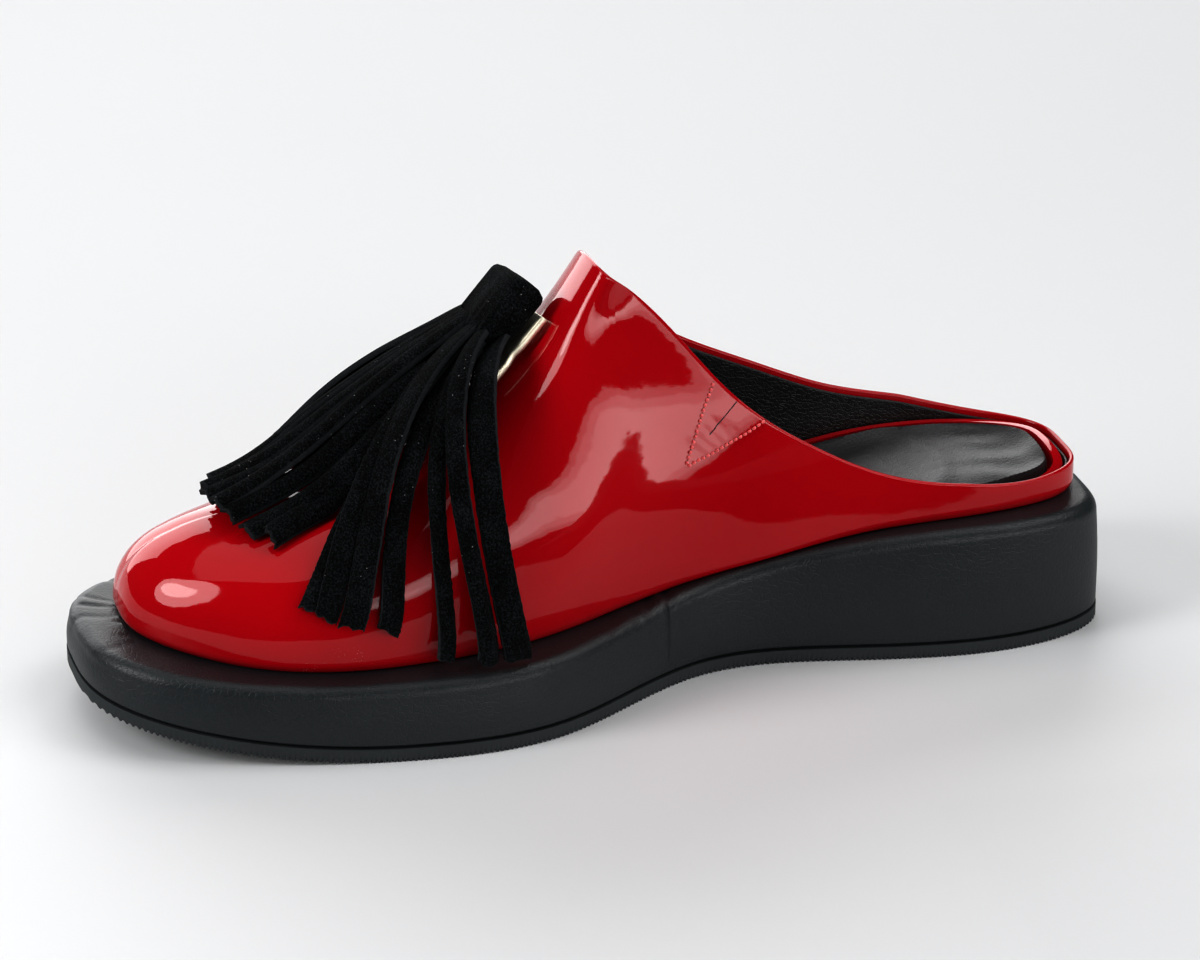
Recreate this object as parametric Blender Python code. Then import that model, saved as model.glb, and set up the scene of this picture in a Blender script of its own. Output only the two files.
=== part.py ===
"""Tassel mule, right shoe: a wrapped platform, a hollow patent upper, a footbed and a suede tassel.

Sizes are in millimetres and are turned into metres when a mesh is made. A place on the shoe is
given by its station, measured from the back of the heel towards the toe, by its side, positive
towards the inner (medial) side, and by its height over the floor. The toe points to -Y, the inner
side is +X, and the origin is on the floor under the middle of the sole's box, which lies beside the
line that the sides are measured from.
"""
import math
from collections import namedtuple

import bmesh
import bpy
import numpy as np
from mathutils import Vector
from mathutils.bvhtree import BVHTree

MM = 0.001

# Sole and platform
SOLE_LENGTH = 272.0
AXIS_SIDE = 2.65
OUTSOLE_THICKNESS = 3.5
TOE_SPRING = 10.0
SPRING_STATION = 196.0
SOLE_TOE_POWER = 0.65
SOLE_HEEL_POWER = 0.48
OUTSOLE_CHAMFER = 0.3
CHAMFER_RISE = 0.5
EDGE_RADIUS = 4.5
BASE_RADIUS = 1.4
BASE_INSET = 0.3
WALL_INSET = 0.8
SEAT_GAP = 0.3

# Upper
UPPER_HEEL = 5.0
UPPER_TOE = 259.5
UPPER_TOE_POWER = 0.6
UPPER_HEEL_POWER = 0.55
TOE_SHIFT = -3.0
TOE_SHIFT_STATION = 150.0
UPPER_WALL = 2.0
BULGE_POWER = 1.5
LEAN_HEIGHT = 60.0
LEAN_FADE = 0.75, 1.0
PEAK_STATION = 138.0
TOE_SPINE = 227.0
HEEL_SPINE = 40.0
SPINE_BLEND = 10.0

# Footbed and insole
BOARD_CLEARANCE = 0.9
BOARD_THICKNESS = 2.6
SOCK_MARGIN = 4.2
SOCK_THICKNESS = 2.4
SOCK_EDGE = 1.1
CUP_STATIONS = 50.0, 110.0
CUP_SIDES = -20.0, 2.0
CUP_RISE = 3.2
CUP_RUN = 9.0
LIP_RISE = 5.2
LIP_WIDTH = 2.6
LIP_SLOPE = 0.6

# Tassel and its plate
PLATE_STATION = 154.0
PLATE_SIDE = 0.5
PLATE_WIDTH = 19.0
PLATE_THICKNESS = 1.9
PLATE_LIFT = 1.6
HEAD_WIDTH = 27.0
HEAD_SHIFT = -2.3
HEAD_THICKNESS = 11.0
HEAD_LOW = PLATE_LIFT + PLATE_THICKNESS + SEAT_GAP
STRIP_RUN = 36.0
STRIP_SPRING = 18.0
STRIP_THICKNESS = 1.5
STRIP_STEPS = 11
STRIP_SLIT = 0.8
STRIP_CLEARANCE = 0.8
SKIRT_STEPS = 3
BUNDLE_SHARE = 0.6
FALL_OUT = 3.0
FALL_UP = 9.0

# Facets
SOLE_POINTS = 92
EDGE_STEPS = 4
WALL_STEPS = 10
TOE_FAN = 9
HEEL_FAN = 8
INSTEP_COLUMNS = 11
COLLAR_BACKS = 0.5, 2.0, 4.5, 8.0, 13.0, 20.0, 29.0, 38.0, 47.0, 57.0, 67.0, 78.0, 88.0, 98.0
PLATE_COLUMNS = 4
MERGE_DISTANCE = 0.00001
SHARP_ANGLE = 40.0

SoleRow = namedtuple("SoleRow", "station medial lateral top")
SOLE_ROWS = (
    SoleRow(0.0, 46.0, 46.0, 33.4),
    SoleRow(33.0, 42.4, 42.3, 34.8),
    SoleRow(73.0, 31.0, 33.5, 32.0),
    SoleRow(114.0, 27.0, 42.6, 24.2),
    SoleRow(155.0, 49.9, 56.6, 21.2),
    SoleRow(196.0, 57.3, 62.6, 20.1),
    SoleRow(237.0, 57.5, 54.1, 20.9),
    SoleRow(272.0, 58.0, 46.7, 25.0),
)

FeatherRow = namedtuple("FeatherRow", "station medial lateral")
FEATHER_ROWS = (
    FeatherRow(5.0, 33.0, 33.0),
    FeatherRow(36.0, 32.5, 32.0),
    FeatherRow(63.0, 27.0, 30.0),
    FeatherRow(90.0, 23.4, 30.0),
    FeatherRow(117.0, 22.2, 34.0),
    FeatherRow(139.0, 29.8, 40.0),
    FeatherRow(162.0, 39.3, 45.0),
    FeatherRow(188.0, 45.4, 48.5),
    FeatherRow(213.0, 48.4, 47.5),
    FeatherRow(236.0, 46.5, 39.0),
    FeatherRow(259.5, 37.0, 34.0),
)

RidgeRow = namedtuple(
    "RidgeRow", "station side height medial_power lateral_power medial_bulge lateral_bulge medial_lean")
RIDGE_ROWS = (
    RidgeRow(42.0, 0.0, 254.0, 2.3, 2.3, 0.5, 0.0, 1.0),
    RidgeRow(90.0, 5.0, 182.0, 2.3, 2.2, 0.5, -3.0, 7.0),
    RidgeRow(117.0, 7.8, 141.5, 2.3, 2.15, 0.8, -6.5, 7.0),
    RidgeRow(138.0, 10.0, 110.0, 2.3, 2.1, 2.0, -10.0, 3.5),
    RidgeRow(150.0, 9.5, 92.0, 2.3, 2.1, 2.2, -7.5, 1.2),
    RidgeRow(165.0, 8.0, 77.0, 2.4, 2.2, 1.5, -4.5, 0.0),
    RidgeRow(182.0, 4.8, 64.5, 2.5, 2.2, 0.8, -2.0, 0.0),
    RidgeRow(202.0, 1.5, 55.0, 2.6, 2.3, 0.3, -0.5, 0.0),
    RidgeRow(225.0, -1.0, 49.8, 2.6, 2.3, 0.0, 0.0, 0.0),
    RidgeRow(245.0, -2.0, 47.5, 2.6, 2.3, 0.0, 0.0, 0.0),
)

CollarRow = namedtuple("CollarRow", "station medial lateral")
COLLAR_ROWS = (
    CollarRow(5.0, 41.6, 41.6),
    CollarRow(22.0, 41.5, 43.8),
    CollarRow(43.0, 43.7, 48.6),
    CollarRow(63.0, 48.2, 54.0),
    CollarRow(84.0, 58.6, 63.2),
    CollarRow(104.0, 73.9, 73.0),
    CollarRow(117.0, 89.6, 80.5),
    CollarRow(129.0, 102.5, 90.0),
    CollarRow(138.0, 110.0, 110.0),
)

SeatSection = namedtuple("SeatSection", "along shrink")
PLATE_SECTIONS = (
    SeatSection(-10.0, 0.3),
    SeatSection(-9.5, 0.0),
    SeatSection(-4.0, 0.0),
    SeatSection(1.5, 0.0),
    SeatSection(7.0, 0.0),
    SeatSection(12.5, 0.0),
    SeatSection(13.0, 0.3),
)
HEAD_SECTIONS = (
    SeatSection(-14.5, 2.2),
    SeatSection(-12.5, 0.4),
    SeatSection(-4.0, 0.0),
    SeatSection(4.0, 0.0),
    SeatSection(10.0, 0.0),
)

StripRow = namedtuple("StripRow", "turn station side height width")
STRIP_ROWS = (
    StripRow(-46.0, 187.0, -48.0, 31.0, 5.4),
    StripRow(-36.0, 199.0, -45.5, 33.0, 5.2),
    StripRow(-28.0, 209.0, -40.5, 37.0, 5.6),
    StripRow(-21.0, 218.0, -33.0, 42.0, 5.2),
    StripRow(-15.0, 225.0, -24.0, 46.5, 5.4),
    StripRow(-9.0, 230.5, -15.5, 49.5, 5.2),
    StripRow(-4.0, 234.0, -7.5, 51.5, 5.4),
    StripRow(0.0, 235.0, 0.5, 52.0, 5.2),
    StripRow(5.0, 232.5, 8.5, 51.5, 5.4),
    StripRow(10.0, 227.5, 16.0, 50.5, 5.4),
    StripRow(24.0, 216.5, 39.0, 35.0, 5.8),
    StripRow(32.0, 210.0, 41.5, 33.0, 5.8),
    StripRow(39.0, 203.0, 43.5, 31.5, 5.8),
    StripRow(48.0, 187.5, 47.0, 24.5, 4.2),
    StripRow(58.0, 178.0, 48.5, 23.5, 5.0),
    StripRow(66.0, 170.0, 49.0, 23.5, 5.6),
)

Finish = namedtuple("Finish", "colour roughness metallic")
FINISHES = {
    "outsole": Finish((0.012, 0.012, 0.013), 0.75, 0.0),
    "platform": Finish((0.016, 0.017, 0.018), 0.42, 0.0),
    "upper": Finish((0.30, 0.004, 0.010), 0.12, 0.0),
    "footbed": Finish((0.32, 0.006, 0.012), 0.20, 0.0),
    "insole": Finish((0.018, 0.018, 0.020), 0.45, 0.0),
    "tassel_clip": Finish((0.80, 0.70, 0.52), 0.30, 1.0),
    "tassel": Finish((0.010, 0.010, 0.011), 0.95, 0.0),
}


def clear_scene():
    """Remove whatever objects the scene holds."""
    for item in list(bpy.data.objects):
        bpy.data.objects.remove(item, do_unlink=True)


def spline(stations, values):
    """Natural cubic curve through values at rising stations, held at its ends."""
    x = np.asarray(stations, float)
    y = np.asarray(values, float)
    count = len(x)
    gap = np.diff(x)
    slope = np.diff(y) / gap
    system = np.eye(count)
    right = np.zeros(count)
    for i in range(1, count - 1):
        system[i, i - 1:i + 2] = gap[i - 1], 2 * (gap[i - 1] + gap[i]), gap[i]
        right[i] = 6 * (slope[i] - slope[i - 1])
    bend = np.linalg.solve(system, right)

    def value(at):
        at = min(max(float(at), x[0]), x[-1])
        i = min(max(int(np.searchsorted(x, at)) - 1, 0), count - 2)
        left, ahead = at - x[i], x[i + 1] - at
        curve = (bend[i] * ahead ** 3 + bend[i + 1] * left ** 3) / (6 * gap[i])
        near = (y[i] / gap[i] - bend[i] * gap[i] / 6) * ahead
        far = (y[i + 1] / gap[i] - bend[i + 1] * gap[i] / 6) * left
        return curve + near + far

    return value


def column(rows, name):
    """Smooth curve of one named column over the rows' stations."""
    return spline([row.station for row in rows], [getattr(row, name) for row in rows])


class Outline:
    """Closed plan outline: half-widths over the stations, drawn in at heel and toe."""

    def __init__(self, rows, heel, toe, heel_power, toe_power, shift=0.0):
        self.medial = column(rows, "medial")
        self.lateral = column(rows, "lateral")
        self.middle = (heel + toe) / 2
        self.half = (toe - heel) / 2
        self.powers = heel_power, toe_power
        self.shift = shift

    def angle(self, station):
        """Angle, from the toe, at which the outline passes a station."""
        return math.acos(min(max((station - self.middle) / self.half, -1.0), 1.0))

    def point(self, angle):
        """Station and side at an angle; the inner side has angles from 0 to pi."""
        station = self.middle + self.half * math.cos(angle)
        width = self.medial(station) if math.sin(angle) >= 0 else -self.lateral(station)
        power = self.powers[1] if math.cos(angle) > 0 else self.powers[0]
        side = width * abs(math.sin(angle)) ** power
        toeward = max(station - TOE_SHIFT_STATION, 0.0) / (self.middle + self.half - TOE_SHIFT_STATION)
        return station, side + self.shift * toeward ** 2

    def loop(self, count, inset=0.0):
        """Points all round, moved inwards by the inset along the outline's own normal."""
        points = np.array([self.point(2 * math.pi * i / count) for i in range(count)])
        along = np.roll(points, -1, axis=0) - np.roll(points, 1, axis=0)
        along /= np.linalg.norm(along, axis=1)[:, None]
        inward = np.stack([-along[:, 1], along[:, 0]], axis=1)
        return points + inward * inset


SOLE = Outline(SOLE_ROWS, 0.0, SOLE_LENGTH, SOLE_HEEL_POWER, SOLE_TOE_POWER)
FEATHER = Outline(FEATHER_ROWS, UPPER_HEEL, UPPER_TOE, UPPER_HEEL_POWER, UPPER_TOE_POWER, TOE_SHIFT)
PLATFORM_TOP = column(SOLE_ROWS, "top")
RIDGE = {name: column(RIDGE_ROWS, name) for name in RidgeRow._fields[1:]}
COLLAR = {name: column(COLLAR_ROWS, name) for name in CollarRow._fields[1:]}


def floor_height(station):
    """Height of the outsole's underside: flat, then curving up under the toe."""
    rise = max(station - SPRING_STATION, 0.0) / (SOLE_LENGTH - SPRING_STATION)
    return TOE_SPRING * rise ** 2


def outsole_top(station):
    """Height of the outsole's upper face."""
    return floor_height(station) + OUTSOLE_THICKNESS


def board_base(station):
    """Height of the footbed's underside, just over the platform."""
    return PLATFORM_TOP(station) + SEAT_GAP


def sock_base(station):
    """Height of the insole's underside, just over the footbed."""
    return board_base(station) + BOARD_THICKNESS + SEAT_GAP


def smooth_step(value, low, high):
    """Nought below low, one above high, and a soft rise between."""
    share = min(max((value - low) / (high - low), 0.0), 1.0)
    return share * share * (3 - 2 * share)


def heel_cup(station, side):
    """Share by which the rims of footbed and insole turn up, full round the outer side of the heel."""
    return (1 - smooth_step(station, *CUP_STATIONS)) * smooth_step(-side, *CUP_SIDES)


def over(curve, rise=0.0, cup=0.0, power=1.0):
    """Height at a station and side: a curve's, raised evenly and by the heel's turned-up rim."""
    return lambda station, side: curve(station) + rise + cup * heel_cup(station, side) ** power


def to_space(station, side, height):
    """Scene point, in metres, of a place on the shoe."""
    return Vector(((AXIS_SIDE + side) * MM, (SOLE_LENGTH / 2 - station) * MM, height * MM))


def station_of(place):
    """Station of a scene point."""
    return SOLE_LENGTH / 2 - place.y / MM


def add_object(name, mesh):
    """Put a finished mesh in the scene under its piece's name, with its own material."""
    finish = FINISHES[name]
    material = bpy.data.materials.new(name)
    material.use_nodes = True
    shader = material.node_tree.nodes["Principled BSDF"]
    shader.inputs["Base Color"].default_value = (*finish.colour, 1.0)
    shader.inputs["Roughness"].default_value = finish.roughness
    shader.inputs["Metallic"].default_value = finish.metallic
    mesh.materials.append(material)
    mesh.shade_smooth()
    mesh.set_sharp_from_angle(angle=math.radians(SHARP_ANGLE))
    piece = bpy.data.objects.new(name, mesh)
    bpy.context.scene.collection.objects.link(piece)
    return piece


def mesh_from(name, points, faces):
    """Mesh with doubled points merged and its faces turned outwards."""
    mesh = bpy.data.meshes.new(name)
    mesh.from_pydata([to_space(*point) for point in points], [], faces)
    work = bmesh.new()
    work.from_mesh(mesh)
    bmesh.ops.remove_doubles(work, verts=work.verts, dist=MERGE_DISTANCE)
    bmesh.ops.dissolve_degenerate(work, edges=work.edges, dist=MERGE_DISTANCE / 10)
    bmesh.ops.recalc_face_normals(work, faces=work.faces)
    work.to_mesh(mesh)
    work.free()
    return mesh


def stack_solid(name, outline, layers):
    """Solid of outline loops, each with its inset and its height, capped straight across."""
    count = SOLE_POINTS
    points = []
    for inset, height in layers:
        points += [(station, side, height(station, side)) for station, side in outline.loop(count, inset)]
    faces = []
    for layer in range(len(layers) - 1):
        low, high = layer * count, (layer + 1) * count
        for i in range(count):
            j = (i + 1) % count
            faces.append((low + i, low + j, high + j, high + i))
    for first in (0, (len(layers) - 1) * count):
        for i in range(count // 2):
            ends = [i, i + 1, (count - i - 1) % count, (count - i) % count]
            faces.append([first + k for k in dict.fromkeys(ends)])
    return mesh_from(name, points, faces)


def make_outsole():
    """Thin sheet with the full plan outline, flat under heel and ball, sprung at the toe."""
    layers = (
        (OUTSOLE_CHAMFER, over(floor_height)),
        (0.0, over(floor_height, CHAMFER_RISE)),
        (0.0, over(outsole_top)),
    )
    return add_object("outsole", stack_solid("outsole", SOLE, layers))


def make_platform():
    """Wrapped wedge: tucked in over the outsole, nearly upright side, soft top edge."""
    layers = [
        (BASE_RADIUS, over(outsole_top, SEAT_GAP)),
        (BASE_INSET, over(outsole_top, SEAT_GAP + BASE_RADIUS)),
    ]
    for step in range(EDGE_STEPS + 1):
        turn = math.pi / 2 * step / EDGE_STEPS
        inset = WALL_INSET + EDGE_RADIUS * (1 - math.cos(turn))
        layers.append((inset, over(PLATFORM_TOP, EDGE_RADIUS * (math.sin(turn) - 1))))
    return add_object("platform", stack_solid("platform", SOLE, layers))


def soft_ramp(excess, blend):
    """Nought below nought and the excess itself above, rounded off where the two meet."""
    return blend * math.log1p(math.exp(excess / blend))


def spine_of(station):
    """Station on the ridge that a column leans towards: its own, held back near toe and heel."""
    ahead = soft_ramp(station - TOE_SPINE, SPINE_BLEND)
    behind = soft_ramp(HEEL_SPINE - station, SPINE_BLEND)
    return station - ahead + behind


class Last:
    """The upper's outer form: columns that rise from the feather line to ridge or collar."""

    def column_points(self, angle, steps):
        """Points of one column, from the feather line up."""
        station, side = FEATHER.point(angle)
        spine = spine_of(station)
        inner = math.sin(angle) >= 0
        middle = RIDGE["side"](spine)
        base = PLATFORM_TOP(station) + SEAT_GAP
        rise = RIDGE["height"](spine) - base
        power = RIDGE["medial_power" if inner else "lateral_power"](spine)
        bulge = RIDGE["medial_bulge" if inner else "lateral_bulge"](spine)
        lean = RIDGE["medial_lean"](spine) if inner else 0.0
        level = 1.0
        if station < PEAK_STATION:
            collar = COLLAR["medial" if inner else "lateral"](station)
            level = min((collar - base) / rise, 1.0)
        last_turn = math.asin(level ** (power / 2))
        reach = math.hypot(station - spine, side - middle)
        points = []
        for step in range(steps + 1):
            turn = last_turn * step / steps
            up = math.sin(turn) ** (2 / power)
            out = math.cos(turn) ** (2 / power) if step < steps or level < 1 else 0.0
            out += bulge / reach * max(math.sin(math.pi * up), 0.0) ** BULGE_POWER
            out -= lean / reach * (rise * up / LEAN_HEIGHT) ** 2 * (1 - smooth_step(up, *LEAN_FADE))
            at = spine + (station - spine) * out
            height = base + (RIDGE["height"](at) - base) * up
            points.append((at, middle + (side - middle) * out, height))
        return points

    def angles(self):
        """Column angles: fans at toe and heel, closer together behind the collar's peak."""
        toe = FEATHER.angle(TOE_SPINE)
        heel = FEATHER.angle(HEEL_SPINE)
        stations = list(np.linspace(TOE_SPINE, PEAK_STATION, INSTEP_COLUMNS)[1:])
        stations += [PEAK_STATION - back for back in COLLAR_BACKS]
        inner = list(np.linspace(0, toe, TOE_FAN)) + [FEATHER.angle(s) for s in stations]
        inner += list(np.linspace(heel, math.pi, HEEL_FAN)[1:])
        return inner + [2 * math.pi - angle for angle in reversed(inner[1:-1])]

    def surface(self):
        """Points and faces of the outer wall, open at the collar and underneath."""
        angles = self.angles()
        points = []
        for angle in angles:
            points += self.column_points(angle, WALL_STEPS)
        rows = WALL_STEPS + 1
        faces = []
        for i in range(len(angles)):
            j = (i + 1) % len(angles)
            for k in range(WALL_STEPS):
                faces.append((i * rows + k, j * rows + k, j * rows + k + 1, i * rows + k + 1))
        return points, faces


def make_upper():
    """Hollow wall over the last, thickened inwards, with its lower edge level on the platform."""
    points, faces = Last().surface()
    mesh = mesh_from("upper", points, faces)
    tree = BVHTree.FromPolygons([v.co for v in mesh.vertices], [p.vertices for p in mesh.polygons])
    work = bmesh.new()
    work.from_mesh(mesh)
    bmesh.ops.solidify(work, geom=work.faces[:], thickness=UPPER_WALL * MM)
    for vert in work.verts:
        vert.co.z = max(vert.co.z, board_base(station_of(vert.co)) * MM)
    bmesh.ops.recalc_face_normals(work, faces=work.faces)
    work.to_mesh(mesh)
    work.free()
    add_object("upper", mesh)
    return tree


def make_footbed():
    """Board that closes the upper from below, with a lip that turns up round the heel."""
    inset = UPPER_WALL + BOARD_CLEARANCE
    lip = over(board_base, BOARD_THICKNESS, LIP_RISE, 0.5)
    layers = (
        (inset, over(board_base)),
        (inset, lip),
        (inset + LIP_WIDTH, lip),
        (inset + LIP_WIDTH + LIP_SLOPE, over(board_base, BOARD_THICKNESS)),
    )
    return add_object("footbed", stack_solid("footbed", FEATHER, layers))


def make_insole():
    """Padded sock with a rounded edge, set in from the board's edge and turned up round the heel."""
    inset = UPPER_WALL + BOARD_CLEARANCE + SOCK_MARGIN
    layers = (
        (inset, over(sock_base)),
        (inset, over(sock_base, SOCK_THICKNESS - SOCK_EDGE, CUP_RISE)),
        (inset + SOCK_EDGE, over(sock_base, SOCK_THICKNESS, CUP_RISE)),
        (inset + CUP_RUN, over(sock_base, SOCK_THICKNESS)),
    )
    return add_object("insole", stack_solid("insole", FEATHER, layers))


class Seat:
    """Frame of the plate on the instep: along it towards the toe, across it, and out of the upper."""

    def __init__(self, tree):
        guess = to_space(PLATE_STATION, PLATE_SIDE, RIDGE["height"](PLATE_STATION))
        self.place, self.out, _, _ = tree.find_nearest(guess)
        ahead = Vector((0.0, -1.0, 0.0))
        self.along = (ahead - ahead.dot(self.out) * self.out).normalized()
        self.across = self.out.cross(self.along).normalized()

    def point(self, along, across, out):
        """Scene point at distances, in millimetres, from the seat's middle."""
        return self.place + (self.along * along + self.across * across + self.out * out) * MM


class Sheet:
    """Closed piece between a lower and an upper face, made of edges that join the two."""

    def __init__(self):
        self.points = []
        self.faces = []

    def edge(self, foot, top):
        """One edge, from the lower to the upper face."""
        self.points += [foot, top]
        return len(self.points) - 2

    def seat_rows(self, seat, sections, size, count, shift=0.0):
        """Rows of edges across the seat, each drawn in at the piece's ends by its section's shrink."""
        width, low, thickness = size
        rows = []
        for section in sections:
            half = width / 2 - section.shrink
            outs = low + section.shrink, low + thickness - section.shrink
            row = []
            for i in range(count + 1):
                across = half * (2 * i / count - 1) + shift
                row.append(self.edge(*(seat.point(section.along, across, out) for out in outs)))
            rows.append(row)
        return rows

    def wall(self, near, far):
        """Face between two edges that follow each other."""
        self.faces.append((near, far, far + 1, near + 1))

    def web(self, left, right, next_left, next_right):
        """Lower and upper face between four edges."""
        self.faces.append((left, right, next_right, next_left))
        self.faces.append((left + 1, right + 1, next_right + 1, next_left + 1))

    def mesh(self, name, fused, split=()):
        """Mesh of rows that hold together, then of rows split into strips with two edges each."""
        count = len(fused[0]) - 1
        pairs = [[(row[i], row[i + 1]) for i in range(count)] for row in fused]
        pairs += list(split)
        for i in range(count):
            self.wall(*pairs[0][i])
            self.wall(*pairs[-1][i])
            for at in range(len(pairs) - 1):
                here, there = pairs[at][i], pairs[at + 1][i]
                self.web(*here, *there)
                apart = at >= len(fused) - 1
                if apart or i == 0:
                    self.wall(here[0], there[0])
                if apart or i == count - 1:
                    self.wall(here[1], there[1])
        mesh = bpy.data.meshes.new(name)
        mesh.from_pydata(self.points, [], self.faces)
        work = bmesh.new()
        work.from_mesh(mesh)
        bmesh.ops.recalc_face_normals(work, faces=work.faces)
        work.to_mesh(mesh)
        work.free()
        return mesh


def make_clip(seat):
    """Thin metal plate under the tassel's head, across the hollow of the instep."""
    sheet = Sheet()
    size = PLATE_WIDTH, PLATE_LIFT, PLATE_THICKNESS
    rows = sheet.seat_rows(seat, PLATE_SECTIONS, size, PLATE_COLUMNS)
    add_object("tassel_clip", sheet.mesh("tassel_clip", rows))


def bezier(a, b, c, d, u):
    """Point of a cubic curve with four control points."""
    v = 1 - u
    return a * v ** 3 + b * 3 * v * v * u + c * 3 * v * u * u + d * u ** 3


def clear_of(tree, point, clearance):
    """The point, moved out of the upper's wall where it comes nearer than the clearance."""
    near, out, _, _ = tree.find_nearest(point)
    if (point - near).dot(out) < clearance * MM:
        point = near + out * clearance * MM
    lowest = (PLATFORM_TOP(station_of(point)) + clearance) * MM
    return Vector((point.x, point.y, max(point.z, lowest)))


class Fringe:
    """The strips of the tassel: where each runs, and how wide it can be beside its neighbours."""

    def __init__(self, seat, tree, sheet):
        self.seat = seat
        self.tree = tree
        self.sheet = sheet
        self.paths = [self.path(i) for i in range(len(STRIP_ROWS))]

    def path(self, index):
        """Middle line of one strip, from the head's end to where it comes to lie."""
        row = STRIP_ROWS[index]
        across = HEAD_WIDTH * ((index + 0.5) / len(STRIP_ROWS) - 0.5) + HEAD_SHIFT
        begin = HEAD_SECTIONS[-1].along
        middle = HEAD_LOW + HEAD_THICKNESS / 2
        start = self.seat.point(begin, across, middle)
        turn = math.radians(row.turn)
        run = self.seat.along * math.cos(turn) + self.seat.across * math.sin(turn)
        end = to_space(row.station, row.side, row.height)
        _, out, _, _ = self.tree.find_nearest(end)
        fall = end + (out * FALL_OUT + Vector((0.0, 0.0, FALL_UP))) * MM
        spring = start + (run * STRIP_RUN + self.seat.out * STRIP_SPRING) * MM
        controls = start, spring, fall, end
        return [bezier(*controls, step / STRIP_STEPS) for step in range(STRIP_STEPS + 1)]

    def sides(self, step):
        """Places of each strip's two edges at one step."""
        places = []
        for i, path in enumerate(self.paths):
            ahead = path[min(step + 1, STRIP_STEPS)] - path[step - 1]
            _, out, _, _ = self.tree.find_nearest(path[step])
            sideways = out.cross(ahead).normalized()
            near = [self.paths[j][step] for j in (i - 1, i + 1) if 0 <= j < len(self.paths)]
            room = min((other - path[step]).length for other in near) - STRIP_SLIT * MM
            half = min(STRIP_ROWS[i].width * MM, room) / 2
            places.append((path[step] - sideways * half, path[step] + sideways * half))
        return places

    def laid_edge(self, place, step):
        """Edge of the sheet at a place, thinner along the strip, clear of the upper and the platform."""
        thinned = min(step / (STRIP_STEPS * BUNDLE_SHARE), 1.0)
        thickness = HEAD_THICKNESS + (STRIP_THICKNESS - HEAD_THICKNESS) * thinned
        _, out, _, _ = self.tree.find_nearest(place)
        foot = clear_of(self.tree, place - out * thickness / 2 * MM, STRIP_CLEARANCE)
        return self.sheet.edge(foot, foot + out * thickness * MM)

    def skirt_row(self, step):
        """Edges that neighbouring strips share while they still hold together."""
        sides = self.sides(step)
        places = [sides[0][0]] + [(a[1] + b[0]) / 2 for a, b in zip(sides, sides[1:])] + [sides[-1][1]]
        return [self.laid_edge(place, step) for place in places]

    def strip_row(self, step):
        """Two edges for each strip."""
        return [tuple(self.laid_edge(place, step) for place in pair) for pair in self.sides(step)]


def make_tassel(seat, tree):
    """One cut sheet: a folded head, a skirt that holds together, then strips that lie on the upper."""
    sheet = Sheet()
    fringe = Fringe(seat, tree, sheet)
    size = HEAD_WIDTH, HEAD_LOW, HEAD_THICKNESS
    fused = sheet.seat_rows(seat, HEAD_SECTIONS, size, len(STRIP_ROWS), HEAD_SHIFT)
    fused += [fringe.skirt_row(step) for step in range(1, SKIRT_STEPS + 1)]
    split = [fringe.strip_row(step) for step in range(SKIRT_STEPS + 1, STRIP_STEPS + 1)]
    add_object("tassel", sheet.mesh("tassel", fused, split))


def main():
    """Build every piece."""
    clear_scene()
    make_outsole()
    make_platform()
    tree = make_upper()
    make_footbed()
    make_insole()
    seat = Seat(tree)
    make_clip(seat)
    make_tassel(seat, tree)


main()
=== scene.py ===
"""Tassel mule, right shoe, dressed: patent upper, wrapped platform, padded insole and suede tassel.

Tables and constants are in millimetres, or in metres where a comment says so. A place on the shoe is
given by its station, measured from the back of the heel towards the toe, by its side, positive towards
the inner (medial) side, and by its height over the floor. The toe points to -Y and the inner side is +X.
"""
import math
import random
from collections import namedtuple

import bmesh
import bpy
import numpy as np
from bpy.props import FloatProperty, FloatVectorProperty, PointerProperty
from mathutils import Matrix, Vector, noise
from mathutils.bvhtree import BVHTree


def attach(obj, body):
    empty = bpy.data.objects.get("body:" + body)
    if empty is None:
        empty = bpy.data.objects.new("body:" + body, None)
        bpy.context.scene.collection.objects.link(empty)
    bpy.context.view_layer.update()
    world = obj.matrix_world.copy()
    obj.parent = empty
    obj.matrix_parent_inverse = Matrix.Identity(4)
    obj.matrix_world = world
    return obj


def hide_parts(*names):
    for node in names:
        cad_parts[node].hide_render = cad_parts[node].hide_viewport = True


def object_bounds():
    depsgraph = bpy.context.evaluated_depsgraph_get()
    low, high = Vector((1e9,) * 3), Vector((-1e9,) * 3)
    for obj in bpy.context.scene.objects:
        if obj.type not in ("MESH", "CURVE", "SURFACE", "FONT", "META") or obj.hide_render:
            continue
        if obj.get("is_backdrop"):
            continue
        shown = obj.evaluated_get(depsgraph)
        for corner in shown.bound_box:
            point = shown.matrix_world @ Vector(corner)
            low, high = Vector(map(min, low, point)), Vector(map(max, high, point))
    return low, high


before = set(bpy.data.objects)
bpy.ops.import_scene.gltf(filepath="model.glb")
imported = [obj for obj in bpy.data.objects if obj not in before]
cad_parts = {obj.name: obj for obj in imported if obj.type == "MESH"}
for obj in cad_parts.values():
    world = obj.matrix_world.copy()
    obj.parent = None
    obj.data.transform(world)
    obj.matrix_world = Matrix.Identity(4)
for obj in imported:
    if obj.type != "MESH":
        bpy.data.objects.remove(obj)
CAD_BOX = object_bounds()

bl_info = {
    "name": "Tassel mule",
    "version": (1, 0, 0),
    "blender": (4, 5, 0),
    "location": "View3D > Sidebar > Mule",
    "description": "Dresses the tassel mule's solids as patent leather, suede, leather and rubber",
    "category": "Add Mesh",
}

MM = 0.001
BODY = "root"
OUTER_FACE = "upper_face"

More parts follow.
